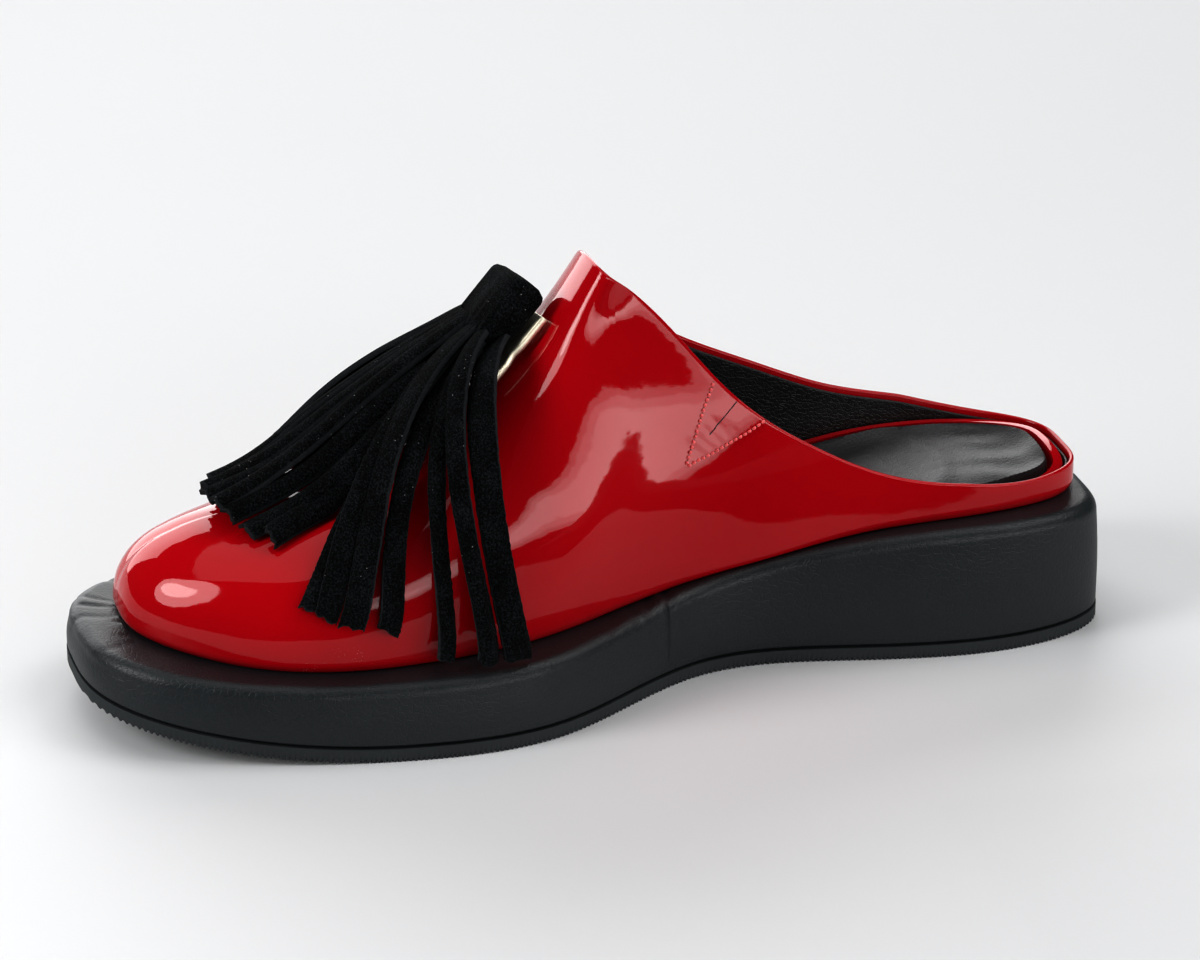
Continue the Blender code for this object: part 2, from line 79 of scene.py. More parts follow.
# Sole and platform, as in the solids
SOLE_LENGTH = 272.0
AXIS_SIDE = 2.65
OUTSOLE_THICKNESS = 3.5
TOE_SPRING = 10.0
SPRING_STATION = 196.0
SOLE_TOE_POWER = 0.65
SOLE_HEEL_POWER = 0.48
SEAT_GAP = 0.3

# Upper, as in the solids
UPPER_HEEL = 5.0
UPPER_TOE = 259.5
UPPER_TOE_POWER = 0.6
UPPER_HEEL_POWER = 0.55
TOE_SHIFT = -3.0
TOE_SHIFT_STATION = 150.0
UPPER_WALL = 2.0
BULGE_POWER = 1.5
LEAN_HEIGHT = 60.0
LEAN_FADE = 0.75, 1.0
PEAK_STATION = 138.0
TOE_SPINE = 227.0
HEEL_SPINE = 40.0
SPINE_BLEND = 10.0

# Lining: how far its peak lies ahead of the collar's, for each millimetre of its setback
SETBACK_SLOPE = 0.66

# Footbed and insole, as in the solids
BOARD_CLEARANCE = 0.9
BOARD_THICKNESS = 2.6
SOCK_MARGIN = 4.2
SOCK_THICKNESS = 2.4
CUP_STATIONS = 50.0, 110.0
CUP_SIDES = -20.0, 2.0
CUP_RISE = 3.2
LIP_RISE = 5.2
LIP_WIDTH = 2.6
LIP_SLOPE = 0.6

# Plate and tassel, close to the solids
PLATE_STATION = 154.0
PLATE_SIDE = 0.5
PLATE_WIDTH = 20.0
PLATE_START = -8.0
PLATE_END = 13.0
PLATE_THICKNESS = 1.9
PLATE_LIFT = 1.6
HEAD_WIDTH = 27.0
HEAD_SHIFT = -4.2
HEAD_THICKNESS = 11.0
HEAD_TOP = -12.6
HEAD_END = 11.0
HEAD_LOW = PLATE_LIFT + PLATE_THICKNESS + SEAT_GAP
STRIP_RUN = 36.0
STRIP_SPRING = 18.0
FALL_OUT = 3.0
FALL_UP = 9.0
LIE_BACK = 30.0
LIE_OUT = 3.0
LIE_RISE = 0.35

SoleRow = namedtuple("SoleRow", "station medial lateral top")
SOLE_ROWS = (
    SoleRow(0.0, 46.0, 46.0, 33.4),
    SoleRow(33.0, 42.4, 42.3, 34.8),
    SoleRow(73.0, 31.0, 33.5, 32.0),
    SoleRow(114.0, 27.0, 42.6, 24.2),
    SoleRow(155.0, 49.9, 56.6, 21.2),
    SoleRow(196.0, 57.3, 62.6, 20.1),
    SoleRow(237.0, 57.5, 54.1, 20.9),
    SoleRow(272.0, 58.0, 46.7, 25.0),
)

FeatherRow = namedtuple("FeatherRow", "station medial lateral")
FEATHER_ROWS = (
    FeatherRow(5.0, 33.0, 33.0),
    FeatherRow(36.0, 32.5, 32.0),
    FeatherRow(63.0, 27.0, 30.0),
    FeatherRow(90.0, 23.4, 30.0),
    FeatherRow(117.0, 22.2, 34.0),
    FeatherRow(139.0, 29.8, 40.0),
    FeatherRow(162.0, 39.3, 45.0),
    FeatherRow(188.0, 45.4, 48.5),
    FeatherRow(213.0, 48.4, 47.5),
    FeatherRow(236.0, 46.5, 39.0),
    FeatherRow(259.5, 37.0, 34.0),
)

# Ridge of the upper, as in the solid but for a little less lean near the peak
RidgeRow = namedtuple(
    "RidgeRow", "station side height medial_power lateral_power medial_bulge lateral_bulge medial_lean")
RIDGE_ROWS = (
    RidgeRow(42.0, 0.0, 254.0, 2.3, 2.3, 0.5, 0.0, 1.0),
    RidgeRow(90.0, 5.0, 182.0, 2.3, 2.2, 0.5, -3.0, 7.0),
    RidgeRow(117.0, 7.8, 141.5, 2.3, 2.15, 0.8, -6.5, 6.3),
    RidgeRow(138.0, 10.0, 110.0, 2.3, 2.1, 2.0, -10.0, 2.9),
    RidgeRow(150.0, 9.5, 92.0, 2.3, 2.1, 2.2, -7.5, 1.2),
    RidgeRow(165.0, 8.0, 77.0, 2.4, 2.2, 1.5, -4.5, 0.0),
    RidgeRow(182.0, 4.8, 64.5, 2.5, 2.2, 0.8, -2.0, 0.0),
    RidgeRow(202.0, 1.5, 55.0, 2.6, 2.3, 0.3, -0.5, 0.0),
    RidgeRow(225.0, -1.0, 49.8, 2.6, 2.3, 0.0, 0.0, 0.0),
    RidgeRow(245.0, -2.0, 47.5, 2.6, 2.3, 0.0, 0.0, 0.0),
)

CollarRow = namedtuple("CollarRow", "station medial lateral")
COLLAR_ROWS = (
    CollarRow(5.0, 41.6, 41.6),
    CollarRow(22.0, 41.5, 43.8),
    CollarRow(43.0, 43.7, 48.6),
    CollarRow(63.0, 48.2, 54.0),
    CollarRow(84.0, 58.6, 63.2),
    CollarRow(104.0, 73.9, 73.0),
    CollarRow(117.0, 89.6, 80.5),
    CollarRow(129.0, 102.5, 90.0),
    CollarRow(138.0, 110.0, 110.0),
)

# Strips of the tassel: the way each leaves the head, where it ends, and how it lies and curls
StripRow = namedtuple("StripRow", "turn station side height width layer roll twist curl hang")
STRIP_ROWS = (
    StripRow(-46.0, 187.0, -48.0, 31.0, 6.0, 1, -30.0, -8.0, -0.6, 0.7),
    StripRow(-36.0, 199.0, -45.5, 33.0, 5.5, 0, -13.0, 14.0, -0.7, 0.6),
    StripRow(-28.0, 209.0, -40.5, 37.0, 5.7, 2, -37.0, -14.0, -0.6, 0.5),
    StripRow(-22.0, 217.0, -34.0, 41.5, 5.7, 5, -8.0, 0.0, -1.0, 0.4),
    StripRow(-18.0, 222.0, -28.0, 44.5, 5.7, 6, -27.0, -18.0, -1.0, 0.3),
    StripRow(-12.0, 227.5, -21.0, 47.0, 5.9, 3, 2.0, 12.0, -1.2, 0.2),
    StripRow(-6.0, 231.0, -15.5, 49.0, 5.7, 6, -17.0, -14.0, -1.4, 0.15),
    StripRow(0.0, 233.5, -10.0, 50.5, 5.9, 4, 12.0, 16.0, -1.5, 0.1),
    StripRow(6.0, 235.0, -5.0, 51.5, 5.7, 6, -4.0, -16.0, -1.8, 0.05),
    StripRow(12.0, 235.5, 0.0, 52.0, 5.9, 4, 27.0, 18.0, -1.5, 0.05),
    StripRow(18.0, 234.5, 5.0, 52.0, 5.7, 6, 10.0, 6.0, -2.0, 0.0),
    StripRow(23.0, 232.5, 10.0, 51.0, 5.9, 3, 42.0, 28.0, -1.8, 0.0),
    StripRow(28.0, 229.0, 15.0, 49.5, 5.9, 1, 20.0, 14.0, -1.5, 0.0),
    StripRow(32.0, 224.0, 20.0, 48.5, 6.1, 0, 46.0, 32.0, -1.2, 0.0),
    StripRow(27.0, 219.0, 37.0, 37.0, 5.7, 1, 8.0, 2.0, -1.2, 0.6),
    StripRow(30.0, 215.5, 39.0, 35.0, 6.1, 4, 28.0, 2.0, -1.0, 0.65),
    StripRow(34.0, 209.0, 41.5, 33.0, 6.3, 5, -2.0, -12.0, -0.8, 0.7),
    StripRow(38.0, 201.0, 43.5, 31.5, 5.7, 2, 17.0, 14.0, -1.2, 0.75),
    StripRow(48.0, 186.0, 47.0, 24.0, 4.4, 3, 0.0, 12.0, -1.9, 0.9),
    StripRow(58.0, 177.0, 49.5, 23.0, 5.0, 4, 0.0, -10.0, -2.0, 1.0),
    StripRow(66.0, 169.0, 50.0, 23.0, 7.2, 1, -6.0, 6.0, -0.8, 1.0),
)

# Stitched mark on the inner side: two rows of thread that meet, with a slit from the collar
MarkRow = namedtuple("MarkRow", "station height")
STITCH_LINES = (
    (MarkRow(107.1, 75.9), MarkRow(110.5, 70.0), MarkRow(114.0, 62.3), MarkRow(116.7, 56.9)),
    (MarkRow(94.6, 65.7), MarkRow(99.6, 62.9), MarkRow(108.6, 59.1), MarkRow(116.4, 56.7)),
)
SLIT_LINE = (MarkRow(101.4, 70.8), MarkRow(105.2, 67.3), MarkRow(109.7, 63.1))

# Soft troughs and ridges of the upper, between two places, on the inner or the outer side
CreaseRow = namedtuple("CreaseRow", "station height end_station end_height side depth width")
CREASE_SIDE = -2.0, 9.0
CREASE_ROWS = (
    CreaseRow(106.5, 66.0, 114.4, 59.8, 1, 0.40, 1.4),
    CreaseRow(112.0, 50.0, 166.0, 44.0, 1, -1.40, 15.0),
    CreaseRow(125.0, 45.0, 142.0, 45.0, 1, -1.10, 14.0),
    CreaseRow(100.0, 81.0, 123.0, 94.0, 1, 2.50, 13.0),
    CreaseRow(138.0, 98.6, 163.8, 82.9, 1, 1.00, 6.4),
    CreaseRow(150.0, 96.8, 158.3, 63.7, 1, -0.55, 8.0),
    CreaseRow(126.0, 78.0, 137.0, 44.0, 1, 0.35, 9.0),
    CreaseRow(150.0, 62.0, 160.0, 32.0, 1, -0.40, 10.0),
    CreaseRow(168.0, 58.0, 172.0, 34.0, 1, 0.35, 8.0),
    CreaseRow(140.0, 70.0, 150.0, 36.0, -1, 0.40, 9.0),
    CreaseRow(160.0, 56.0, 170.0, 32.0, -1, -0.35, 9.0),
)

# Folds of the platform's leather in plan, from one place to another: a seam, then puckers of the edge
FoldRow = namedtuple("FoldRow", "station side end_station end_side depth width")
FOLD_ROWS = (
    FoldRow(122.5, 20.0, 122.5, 38.0, 0.55, 0.8),
    FoldRow(124.4, 20.0, 124.4, 38.0, -0.20, 1.1),
    FoldRow(127.4, 24.0, 129.5, 31.0, 0.40, 1.2),
    FoldRow(132.0, 28.0, 133.0, 34.0, 0.30, 1.4),
    FoldRow(138.0, 31.0, 141.0, 38.0, 0.22, 1.6),
    FoldRow(260.0, -8.0, 267.0, -10.0, 0.40, 1.1),
    FoldRow(262.0, -13.0, 268.0, -17.0, 0.30, 1.0),
    FoldRow(264.0, -2.0, 270.0, -3.0, 0.25, 1.2),
    FoldRow(255.0, -24.0, 262.0, -31.0, 0.35, 1.3),
    FoldRow(258.0, 14.0, 266.0, 18.0, 0.20, 1.4),
)

# Studio lights: angles round the shoe, distance and size in metres, slant and brightness
LightRow = namedtuple("LightRow", "name azimuth elevation distance width height slant shape brightness")
LIGHT_ROWS = (
    LightRow("key_softbox", 9.0, 29.0, 1.3, 0.62, 0.96, 0.0, "ELLIPSE", 6.6),
    LightRow("key_core", 7.0, 30.0, 1.2, 0.34, 0.40, 0.0, "ELLIPSE", 7.0),
    LightRow("back_wall", 272.0, 19.0, 3.2, 3.8, 2.6, 0.0, "RECTANGLE", 3.6),
    LightRow("side_panel", 124.0, 8.6, 1.2, 2.50, 0.38, -20.0, "RECTANGLE", 2.8),
    LightRow("side_middle", 124.0, 8.6, 1.19, 2.15, 0.28, -20.0, "RECTANGLE", 1.4),
    LightRow("side_core", 124.0, 8.6, 1.18, 1.80, 0.17, -20.0, "RECTANGLE", 1.5),
    LightRow("rear_softbox", 165.0, 54.0, 2.2, 1.3, 1.3, 0.0, "RECTANGLE", 3.6),
    LightRow("ceiling", 320.0, 84.0, 2.4, 2.4, 2.4, 0.0, "RECTANGLE", 1.2),
)

# Camera, floor, flag and the point that the lights face, in metres
CAMERA_PLACE = (1.1362, -0.3345, 0.5534)
CAMERA_AIM = (0.0, 0.004, 0.045)
FLOOR_SIZE = 8.0
FLOOR_FRONT = 0.30
FLOOR_TOE = -0.45
FLAG_BOX = (0.115, 0.055, 0.001), (0.25, 0.36, 0.034)
SHOE_MIDDLE = Vector((0.0, 0.0, 0.05))

# Brightness and colour of the surroundings
VIEW_GAMMA = 0.73
WORLD_LIGHT = 0.05
WORLD_SEEN = 0.80
WORLD_COLOUR = (0.96, 0.98, 1.0, 1.0)

# Colours of the specks on patent leather and suede
DUST_COLOUR = (0.75, 0.66, 0.64, 1.0)
LINT_COLOUR = (0.6, 0.6, 0.6, 1.0)

# Facets of the dressed pieces
UPPER_COLUMNS = 140
UPPER_ROWS = 58
LINING_COLUMNS = 140
LINING_ROWS = 36
PEAK_COLUMNS = 9
PEAK_STEP = 0.07
SOLE_POINTS = 640
FINE_POINTS = 4001
RIM_STEPS = 5
STRIP_STEPS = 110
PATH_SMOOTHING = 13
FLOOR_LINES = 9

# Distance within which a face's points become one, in metres
FACE_MERGE = 0.00001

# Shift of the unevenness for each seed
SEED_SHIFT = 3.1, 1.7, 2.3


def spline(stations, values):
    """Natural cubic curve through values at rising stations, held at its ends; takes arrays."""
    x = np.asarray(stations, float)
    y = np.asarray(values, float)
    count = len(x)
    gap = np.diff(x)
    slope = np.diff(y) / gap
    system = np.eye(count)
    right = np.zeros(count)
    for i in range(1, count - 1):
        system[i, i - 1:i + 2] = gap[i - 1], 2 * (gap[i - 1] + gap[i]), gap[i]
        right[i] = 6 * (slope[i] - slope[i - 1])
    bend = np.linalg.solve(system, right)

    def value(at):
        at = np.clip(at, x[0], x[-1])
        i = np.clip(np.searchsorted(x, at) - 1, 0, count - 2)
        left, ahead = at - x[i], x[i + 1] - at
        curve = (bend[i] * ahead ** 3 + bend[i + 1] * left ** 3) / (6 * gap[i])
        near = (y[i] / gap[i] - bend[i] * gap[i] / 6) * ahead
        far = (y[i + 1] / gap[i] - bend[i + 1] * gap[i] / 6) * left
        return curve + near + far

    return value


class Curves:
    """The columns of a table as smooth curves over its stations."""

    def __init__(self, rows):
        for name in rows[0]._fields[1:]:
            setattr(self, name, spline([row.station for row in rows], [getattr(row, name) for row in rows]))


class Outline:
    """Closed plan outline: half-widths over the stations, drawn in at heel and toe."""

    def __init__(self, rows, heel, toe, heel_power, toe_power, shift=0.0):
        self.widths = Curves(rows)
        self.middle = (heel + toe) / 2
        self.half = (toe - heel) / 2
        self.powers = heel_power, toe_power
        self.shift = shift

    def angle(self, station):
        """Angle, from the toe, at which the outline passes a station."""
        return np.arccos(np.clip((station - self.middle) / self.half, -1.0, 1.0))

    def points(self, angles):
        """Stations and sides at the angles; the inner side has angles from 0 to pi."""
        station = self.middle + self.half * np.cos(angles)
        inner = np.sin(angles) >= 0
        width = np.where(inner, self.widths.medial(station), -self.widths.lateral(station))
        power = np.where(np.cos(angles) > 0, self.powers[1], self.powers[0])
        side = width * np.abs(np.sin(angles)) ** power
        toe = self.middle + self.half
        toeward = np.maximum(station - TOE_SHIFT_STATION, 0.0) / (toe - TOE_SHIFT_STATION)
        return station, side + self.shift * toeward ** 2

    def even_angles(self, count):
        """Angles of an even number of points, evenly spaced and at the same stations on both sides."""
        fine = np.linspace(0.0, math.pi, FINE_POINTS)
        runs = [np.hypot(*np.diff(self.points(angles))) for angles in (fine, 2 * math.pi - fine)]
        length = np.concatenate([[0.0], np.cumsum(runs[0] + runs[1])])
        half = np.interp(np.linspace(0.0, length[-1], count // 2 + 1), length, fine)
        return np.concatenate([half, 2 * math.pi - half[-2:0:-1]])

    def loop(self, angles, inset=0.0):
        """Points all round, moved inwards by the inset along the outline's own normal."""
        step = 0.0005
        points = np.stack(self.points(angles), axis=1)
        along = np.stack(self.points(angles + step), axis=1) - np.stack(self.points(angles - step), axis=1)
        along /= np.linalg.norm(along, axis=1)[:, None]
        inward = np.stack([-along[:, 1], along[:, 0]], axis=1)
        return points + inward * inset


SOLE = Outline(SOLE_ROWS, 0.0, SOLE_LENGTH, SOLE_HEEL_POWER, SOLE_TOE_POWER)
FEATHER = Outline(FEATHER_ROWS, UPPER_HEEL, UPPER_TOE, UPPER_HEEL_POWER, UPPER_TOE_POWER, TOE_SHIFT)
PLATFORM_TOP = Curves(SOLE_ROWS).top
RIDGE = Curves(RIDGE_ROWS)
COLLAR = Curves(COLLAR_ROWS)


def floor_height(station):
    """Height of the outsole's underside: flat, then curving up under the toe."""
    rise = np.maximum(station - SPRING_STATION, 0.0) / (SOLE_LENGTH - SPRING_STATION)
    return TOE_SPRING * rise ** 2


def sock_base(station):
    """Height of the insole's underside, just over the footbed."""
    return PLATFORM_TOP(station) + SEAT_GAP + BOARD_THICKNESS + SEAT_GAP


def to_space(places):
    """Scene points, in metres, of an array of stations, sides and heights."""
    station, side, height = np.moveaxis(np.asarray(places, float), -1, 0)
    return np.stack([AXIS_SIDE + side, SOLE_LENGTH / 2 - station, height], axis=-1) * MM


def smooth_step(value, low, high):
    """Nought below low, one above high, and a soft rise between."""
    share = np.clip((value - low) / (high - low), 0.0, 1.0)
    return share * share * (3 - 2 * share)


def soft_ramp(excess, blend):
    """Nought below nought and the excess itself above, rounded off where the two meet."""
    return blend * np.log1p(np.exp(excess / blend))


def spine_of(station):
    """Station on the ridge that a column leans towards: its own, held back near toe and heel."""
    ahead = soft_ramp(station - TOE_SPINE, SPINE_BLEND)
    behind = soft_ramp(HEEL_SPINE - station, SPINE_BLEND)
    return station - ahead + behind


def heel_cup(station, side):
    """Share by which the rims of footbed and insole turn up, full round the outer side of the heel."""
    return (1 - smooth_step(station, *CUP_STATIONS)) * smooth_step(-side, *CUP_SIDES)


def ripple(points, size, seed):
    """Smooth unevenness, from about -1 to 1, of scene points for a given size of bump in metres."""
    shift = Vector([seed * part for part in SEED_SHIFT])
    return np.array([noise.noise(Vector(point) / size + shift) for point in points])


class Mass:
    """Points and faces of one piece, gathered patch by patch, with a mark on each point."""

    def __init__(self):
        self.points = []
        self.marks = []
        self.faces = []
        self.count = 0

    def add(self, points, mark=0.0):
        """Numbers of new points, in the array's own arrangement."""
        points = np.asarray(points, float)
        flat = points.reshape(-1, 3)
        self.points.append(flat)
        self.marks.append(np.broadcast_to(mark, points.shape[:-1]).reshape(-1))
        first = self.count
        self.count += len(flat)
        return np.arange(first, self.count).reshape(points.shape[:-1])

    def face(self, corners):
        """Faces whose corners are given as rows of point numbers."""
        self.faces += np.asarray(corners).tolist()

    def bridge(self, near, far, closed=True):
        """Quads between two rows of points."""
        if closed:
            near, far = np.append(near, near[0]), np.append(far, far[0])
        self.face(np.stack([near[:-1], near[1:], far[1:], far[:-1]], axis=1))

    def grid(self, rows, closed=True):
        """Quads over a grid of point numbers, row by row."""
        for near, far in zip(rows[:-1], rows[1:]):
            self.bridge(near, far, closed)

    def cap(self, loop):
        """Straight faces across a loop whose two halves mirror each other's stations."""
        count = len(loop)
        for i in range(count // 2):
            ends = dict.fromkeys([i, i + 1, (count - i - 1) % count, (count - i) % count])
            self.faces.append([int(loop[k]) for k in ends])

    def fan(self, loop):
        """Faces from a loop's middle to its edge."""
        points = np.concatenate(self.points)
        middle = self.add(points[loop].mean(axis=0)[None])[0]
        ahead = np.roll(loop, -1)
        self.face(np.stack([loop, ahead, np.full(len(loop), middle)], axis=1))

    def mesh(self, name, merge=0.0):
        """Mesh with its faces turned outwards; points nearer than the merge distance become one."""
        mesh = bpy.data.meshes.new(name)
        mesh.from_pydata(np.concatenate(self.points).tolist(), [], self.faces)
        layer = mesh.attributes.new("mark", "FLOAT", "POINT")
        layer.data.foreach_set("value", np.concatenate(self.marks).astype(np.float32))
        work = bmesh.new()
        work.from_mesh(mesh)
        if merge:
            bmesh.ops.remove_doubles(work, verts=work.verts, dist=merge)
            bmesh.ops.dissolve_degenerate(work, edges=work.edges, dist=merge / 10)
        bmesh.ops.recalc_face_normals(work, faces=work.faces)
        work.to_mesh(mesh)
        work.free()
        return mesh


def add_piece(name, mesh, material, sharp=50.0):
    """Put a finished mesh in the scene as a piece of the shoe."""
    mesh.materials.append(material)
    mesh.shade_smooth()
    mesh.set_sharp_from_angle(angle=math.radians(sharp))
    piece = bpy.data.objects.new(name, mesh)
    bpy.context.scene.collection.objects.link(piece)
    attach(piece, BODY)
    return piece


def need_piece(name):
    """A piece that another operator has made."""
    piece = bpy.data.objects.get(name)
    if piece is None:
        raise RuntimeError(f"{name} has to be made first")
    return piece


def tree_of(mesh):
    """Search tree over a mesh's faces."""
    return BVHTree.FromPolygons([v.co for v in mesh.vertices], [p.vertices for p in mesh.polygons])


class Wire:
    """A socket that takes part in sums: an expression on it adds its Math nodes."""

    def __init__(self, board, socket):
        self.board = board
        self.socket = socket

    def maths(self, operation, first, second):
        """Result of one Math node."""
        return self.board.node("ShaderNodeMath", {"operation": operation}, {0: first, 1: second})

    def __add__(self, other):
        return self.maths("ADD", self, other)

    def __radd__(self, other):
        return self.maths("ADD", other, self)

    def __sub__(self, other):
        return self.maths("SUBTRACT", self, other)

    def __rsub__(self, other):
        return self.maths("SUBTRACT", other, self)

    def __mul__(self, other):
        return self.maths("MULTIPLY", self, other)

    def __rmul__(self, other):
        return self.maths("MULTIPLY", other, self)


class Board:
    """The nodes of one material round its Principled shader."""

    def __init__(self, name, **settings):
        self.material = bpy.data.materials.new(name)
        self.material.use_nodes = True
        self.tree = self.material.node_tree
        self.shader = self.tree.nodes["Principled BSDF"]
        for key, value in settings.items():
            self.plug(self.shader.inputs[key.replace("_", " ")], value)
        self.place = self.node("ShaderNodeTexCoord", out="Object")

    def plug(self, socket, value):
        """Link a socket to a wire, or set its value."""
        if isinstance(value, Wire):
            self.tree.links.new(value.socket, socket)
        else:
            socket.default_value = value

    def node(self, kind, settings=None, sockets=None, out=0):
        """Output of a new node, after its settings and then its sockets are set."""
        node = self.tree.nodes.new(kind)
        for key, value in (settings or {}).items():
            setattr(node, key, value)
        for key, value in (sockets or {}).items():
            self.plug(node.inputs[key], value)
        return Wire(self, node.outputs[out])

    def noise(self, scale, detail=3.0, roughness=0.5, place=None):
        """Cloudy value from 0 to 1, with the scale in waves per metre."""
        sockets = {"Vector": place or self.place, "Scale": scale, "Detail": detail, "Roughness": roughness}
        return self.node("ShaderNodeTexNoise", None, sockets)

    def cells(self, scale, feature="F1"):
        """Distance to the nearest of scattered points, with the scale in points per metre."""
        sockets = {"Vector": self.place, "Scale": scale}
        return self.node("ShaderNodeTexVoronoi", {"feature": feature}, sockets, "Distance")

    def rise(self, value, low, high):
        """Soft step of a value from 0 at low to 1 at high."""
        sockets = {"Value": value, "From Min": low, "From Max": high}
        return self.node("ShaderNodeMapRange", {"interpolation_type": "SMOOTHSTEP"}, sockets)

    def mark(self):
        """The mark that the mesh's points carry."""
        return self.node("ShaderNodeAttribute", {"attribute_name": "mark"}, out="Fac")

    def stretched(self, along, across, up):
        """Place stretched by a factor along each axis."""
        sockets = {0: self.place, 1: (across, along, up)}
        return self.node("ShaderNodeVectorMath", {"operation": "MULTIPLY"}, sockets)

    def height(self):
        """Height over the floor, in metres."""
        return self.node("ShaderNodeSeparateXYZ", None, {0: self.place}, "Z")

    def mix(self, share, first, second):
        """Colour between two colours."""
        return self.node("ShaderNodeMix", {"data_type": "RGBA"}, {0: share, 6: first, 7: second}, 2)

    def finish(self, colour, roughness, relief, depth):
        """The material, with its colour, roughness and a relief of the given depth in metres."""
        self.plug(self.shader.inputs["Base Color"], colour)
        self.plug(self.shader.inputs["Roughness"], roughness)
        bump = self.node("ShaderNodeBump", None, {"Height": relief, "Distance": depth, "Strength": 1.0})
        self.plug(self.shader.inputs["Normal"], bump)
        return self.material


def shade(colour, factor):
    """A colour, lighter or darker, with its alpha."""
    return (*(min(part * factor, 1.0) for part in colour), 1.0)


def patent_leather(name, colour):
    """Lacquered red leather: mirror gloss with a faint peel, and dust near its lower edge."""
    board = Board(name, IOR=1.45)
    tone = board.mix(board.noise(22.0), shade(colour, 0.86), shade(colour, 1.12))
    specks = 1 - board.rise(board.cells(1500.0), 0.10, 0.16)
    low = 1 - board.rise(board.height(), 0.022, 0.030)
    dust = specks * board.rise(board.noise(60.0), 0.52, 0.64) * low
    tone = board.mix(dust, tone, DUST_COLOUR)
    gloss = 0.035 + board.noise(240.0) * 0.03 + dust * 0.4
    peel = board.noise(170.0, 1.0) * 0.7 + board.noise(700.0, 2.0) * 0.12
    return board.finish(tone, gloss, peel, depth=0.00006)


def wrap_leather(name, colour):
    """Smooth black leather with fine pores, stretched over an edge."""
    board = Board(name, Specular_IOR_Level=0.55)
    cloud = board.noise(45.0, 4.0)
    tone = board.mix(cloud, shade(colour, 0.8), shade(colour, 1.5))
    pores = board.cells(1700.0)
    creases = board.cells(620.0, "DISTANCE_TO_EDGE")
    grain = board.rise(creases, 0.0, 0.12) * 0.6 + board.rise(pores, 0.0, 0.35) * 0.4
    gloss = 0.36 + cloud * 0.16
    return board.finish(tone, gloss, grain, depth=0.00006)


def sock_leather(name, colour):
    """Soft satin leather of insole and lining."""
    board = Board(name, Sheen_Weight=0.05)
    cloud = board.noise(60.0, 4.0)
    tone = board.mix(cloud, shade(colour, 0.8), shade(colour, 1.4))
    creases = board.cells(900.0, "DISTANCE_TO_EDGE")
    pulled = board.noise(130.0, 3.0, place=board.stretched(0.5, 1.4, 1.0))
    grain = board.rise(creases, 0.0, 0.15) * 0.25 + pulled
    gloss = 0.34 + cloud * 0.14
    return board.finish(tone, gloss, grain, depth=0.00018)


def rubber(name, colour):
    """Matt moulded rubber with a dusty bloom."""
    board = Board(name)
    cloud = board.noise(80.0, 5.0)
    tone = board.mix(cloud, shade(colour, 0.8), shade(colour, 1.8))
    return board.finish(tone, 0.62 + cloud * 0.2, board.noise(2600.0, 2.0), depth=0.00005)


def suede(name, colour, cut_colour):
    """Brushed suede: matt nap, paler along the cut edges, with specks of lint."""
    board = Board(name, Sheen_Weight=0.015, Sheen_Roughness=0.5, Specular_IOR_Level=0.06)
    nap = board.noise(2000.0, 4.0, 0.75)
    brushed = board.noise(110.0, 3.0)
    worn = board.rise(nap * 0.8 + brushed * 0.2, 0.45, 0.66)
    tone = board.mix(worn, shade(colour, 0.25), shade(colour, 6.0))
    tone = board.mix(board.mark() * (0.35 + board.noise(500.0) * 0.5), tone, shade(cut_colour, 1.0))
    specks = 1 - board.rise(board.cells(560.0), 0.06, 0.10)
    lint = specks * board.rise(board.noise(75.0), 0.54, 0.64)
    tone = board.mix(lint * 0.7, tone, LINT_COLOUR)
    pile = nap + board.noise(3200.0, 2.0) * 0.6
    return board.finish(tone, 0.92 + brushed * 0.06, pile, depth=0.0005)


def clip_metal(name, colour):
    """Thin pale gold sheet, satin and a little scuffed."""
    board = Board(name, Metallic=1.0)
    scuff = board.noise(900.0, 3.0, place=board.stretched(0.2, 1.0, 1.0))
    tone = board.mix(scuff, shade(colour, 0.75), shade(colour, 1.1))
    return board.finish(tone, 0.34 + scuff * 0.2, scuff, depth=0.00006)


def thread(name, colour):
    """Twisted sewing thread."""
    board = Board(name, Sheen_Weight=0.3)
    fibre = board.noise(3000.0, 2.0)
    tone = board.mix(fibre, shade(colour, 0.75), shade(colour, 1.15))
    return board.finish(tone, 0.5 + fibre * 0.2, fibre, depth=0.00008)


def paper_floor(name, colour):
    """Plain pale studio floor."""
    board = Board(name)
    cloud = board.noise(3.0, 2.0)
    tone = board.mix(cloud, shade(colour, 0.99), shade(colour, 1.01))
    return board.finish(tone, 0.6 + cloud * 0.1, board.noise(700.0, 2.0), depth=0.00003)


def upper_angles(count):
    """Angles of the upper's columns: even along the feather line, and closer at the collar's peak."""
    half = FEATHER.even_angles(2 * count)[:count + 1]
    backs = PEAK_STEP * np.arange(PEAK_COLUMNS) ** 2
    peak = FEATHER.angle(PEAK_STATION + np.concatenate([-backs, backs]))
    half = np.unique(np.concatenate([half, peak]))
    return np.concatenate([half, 2 * math.pi - half[-2:0:-1]])


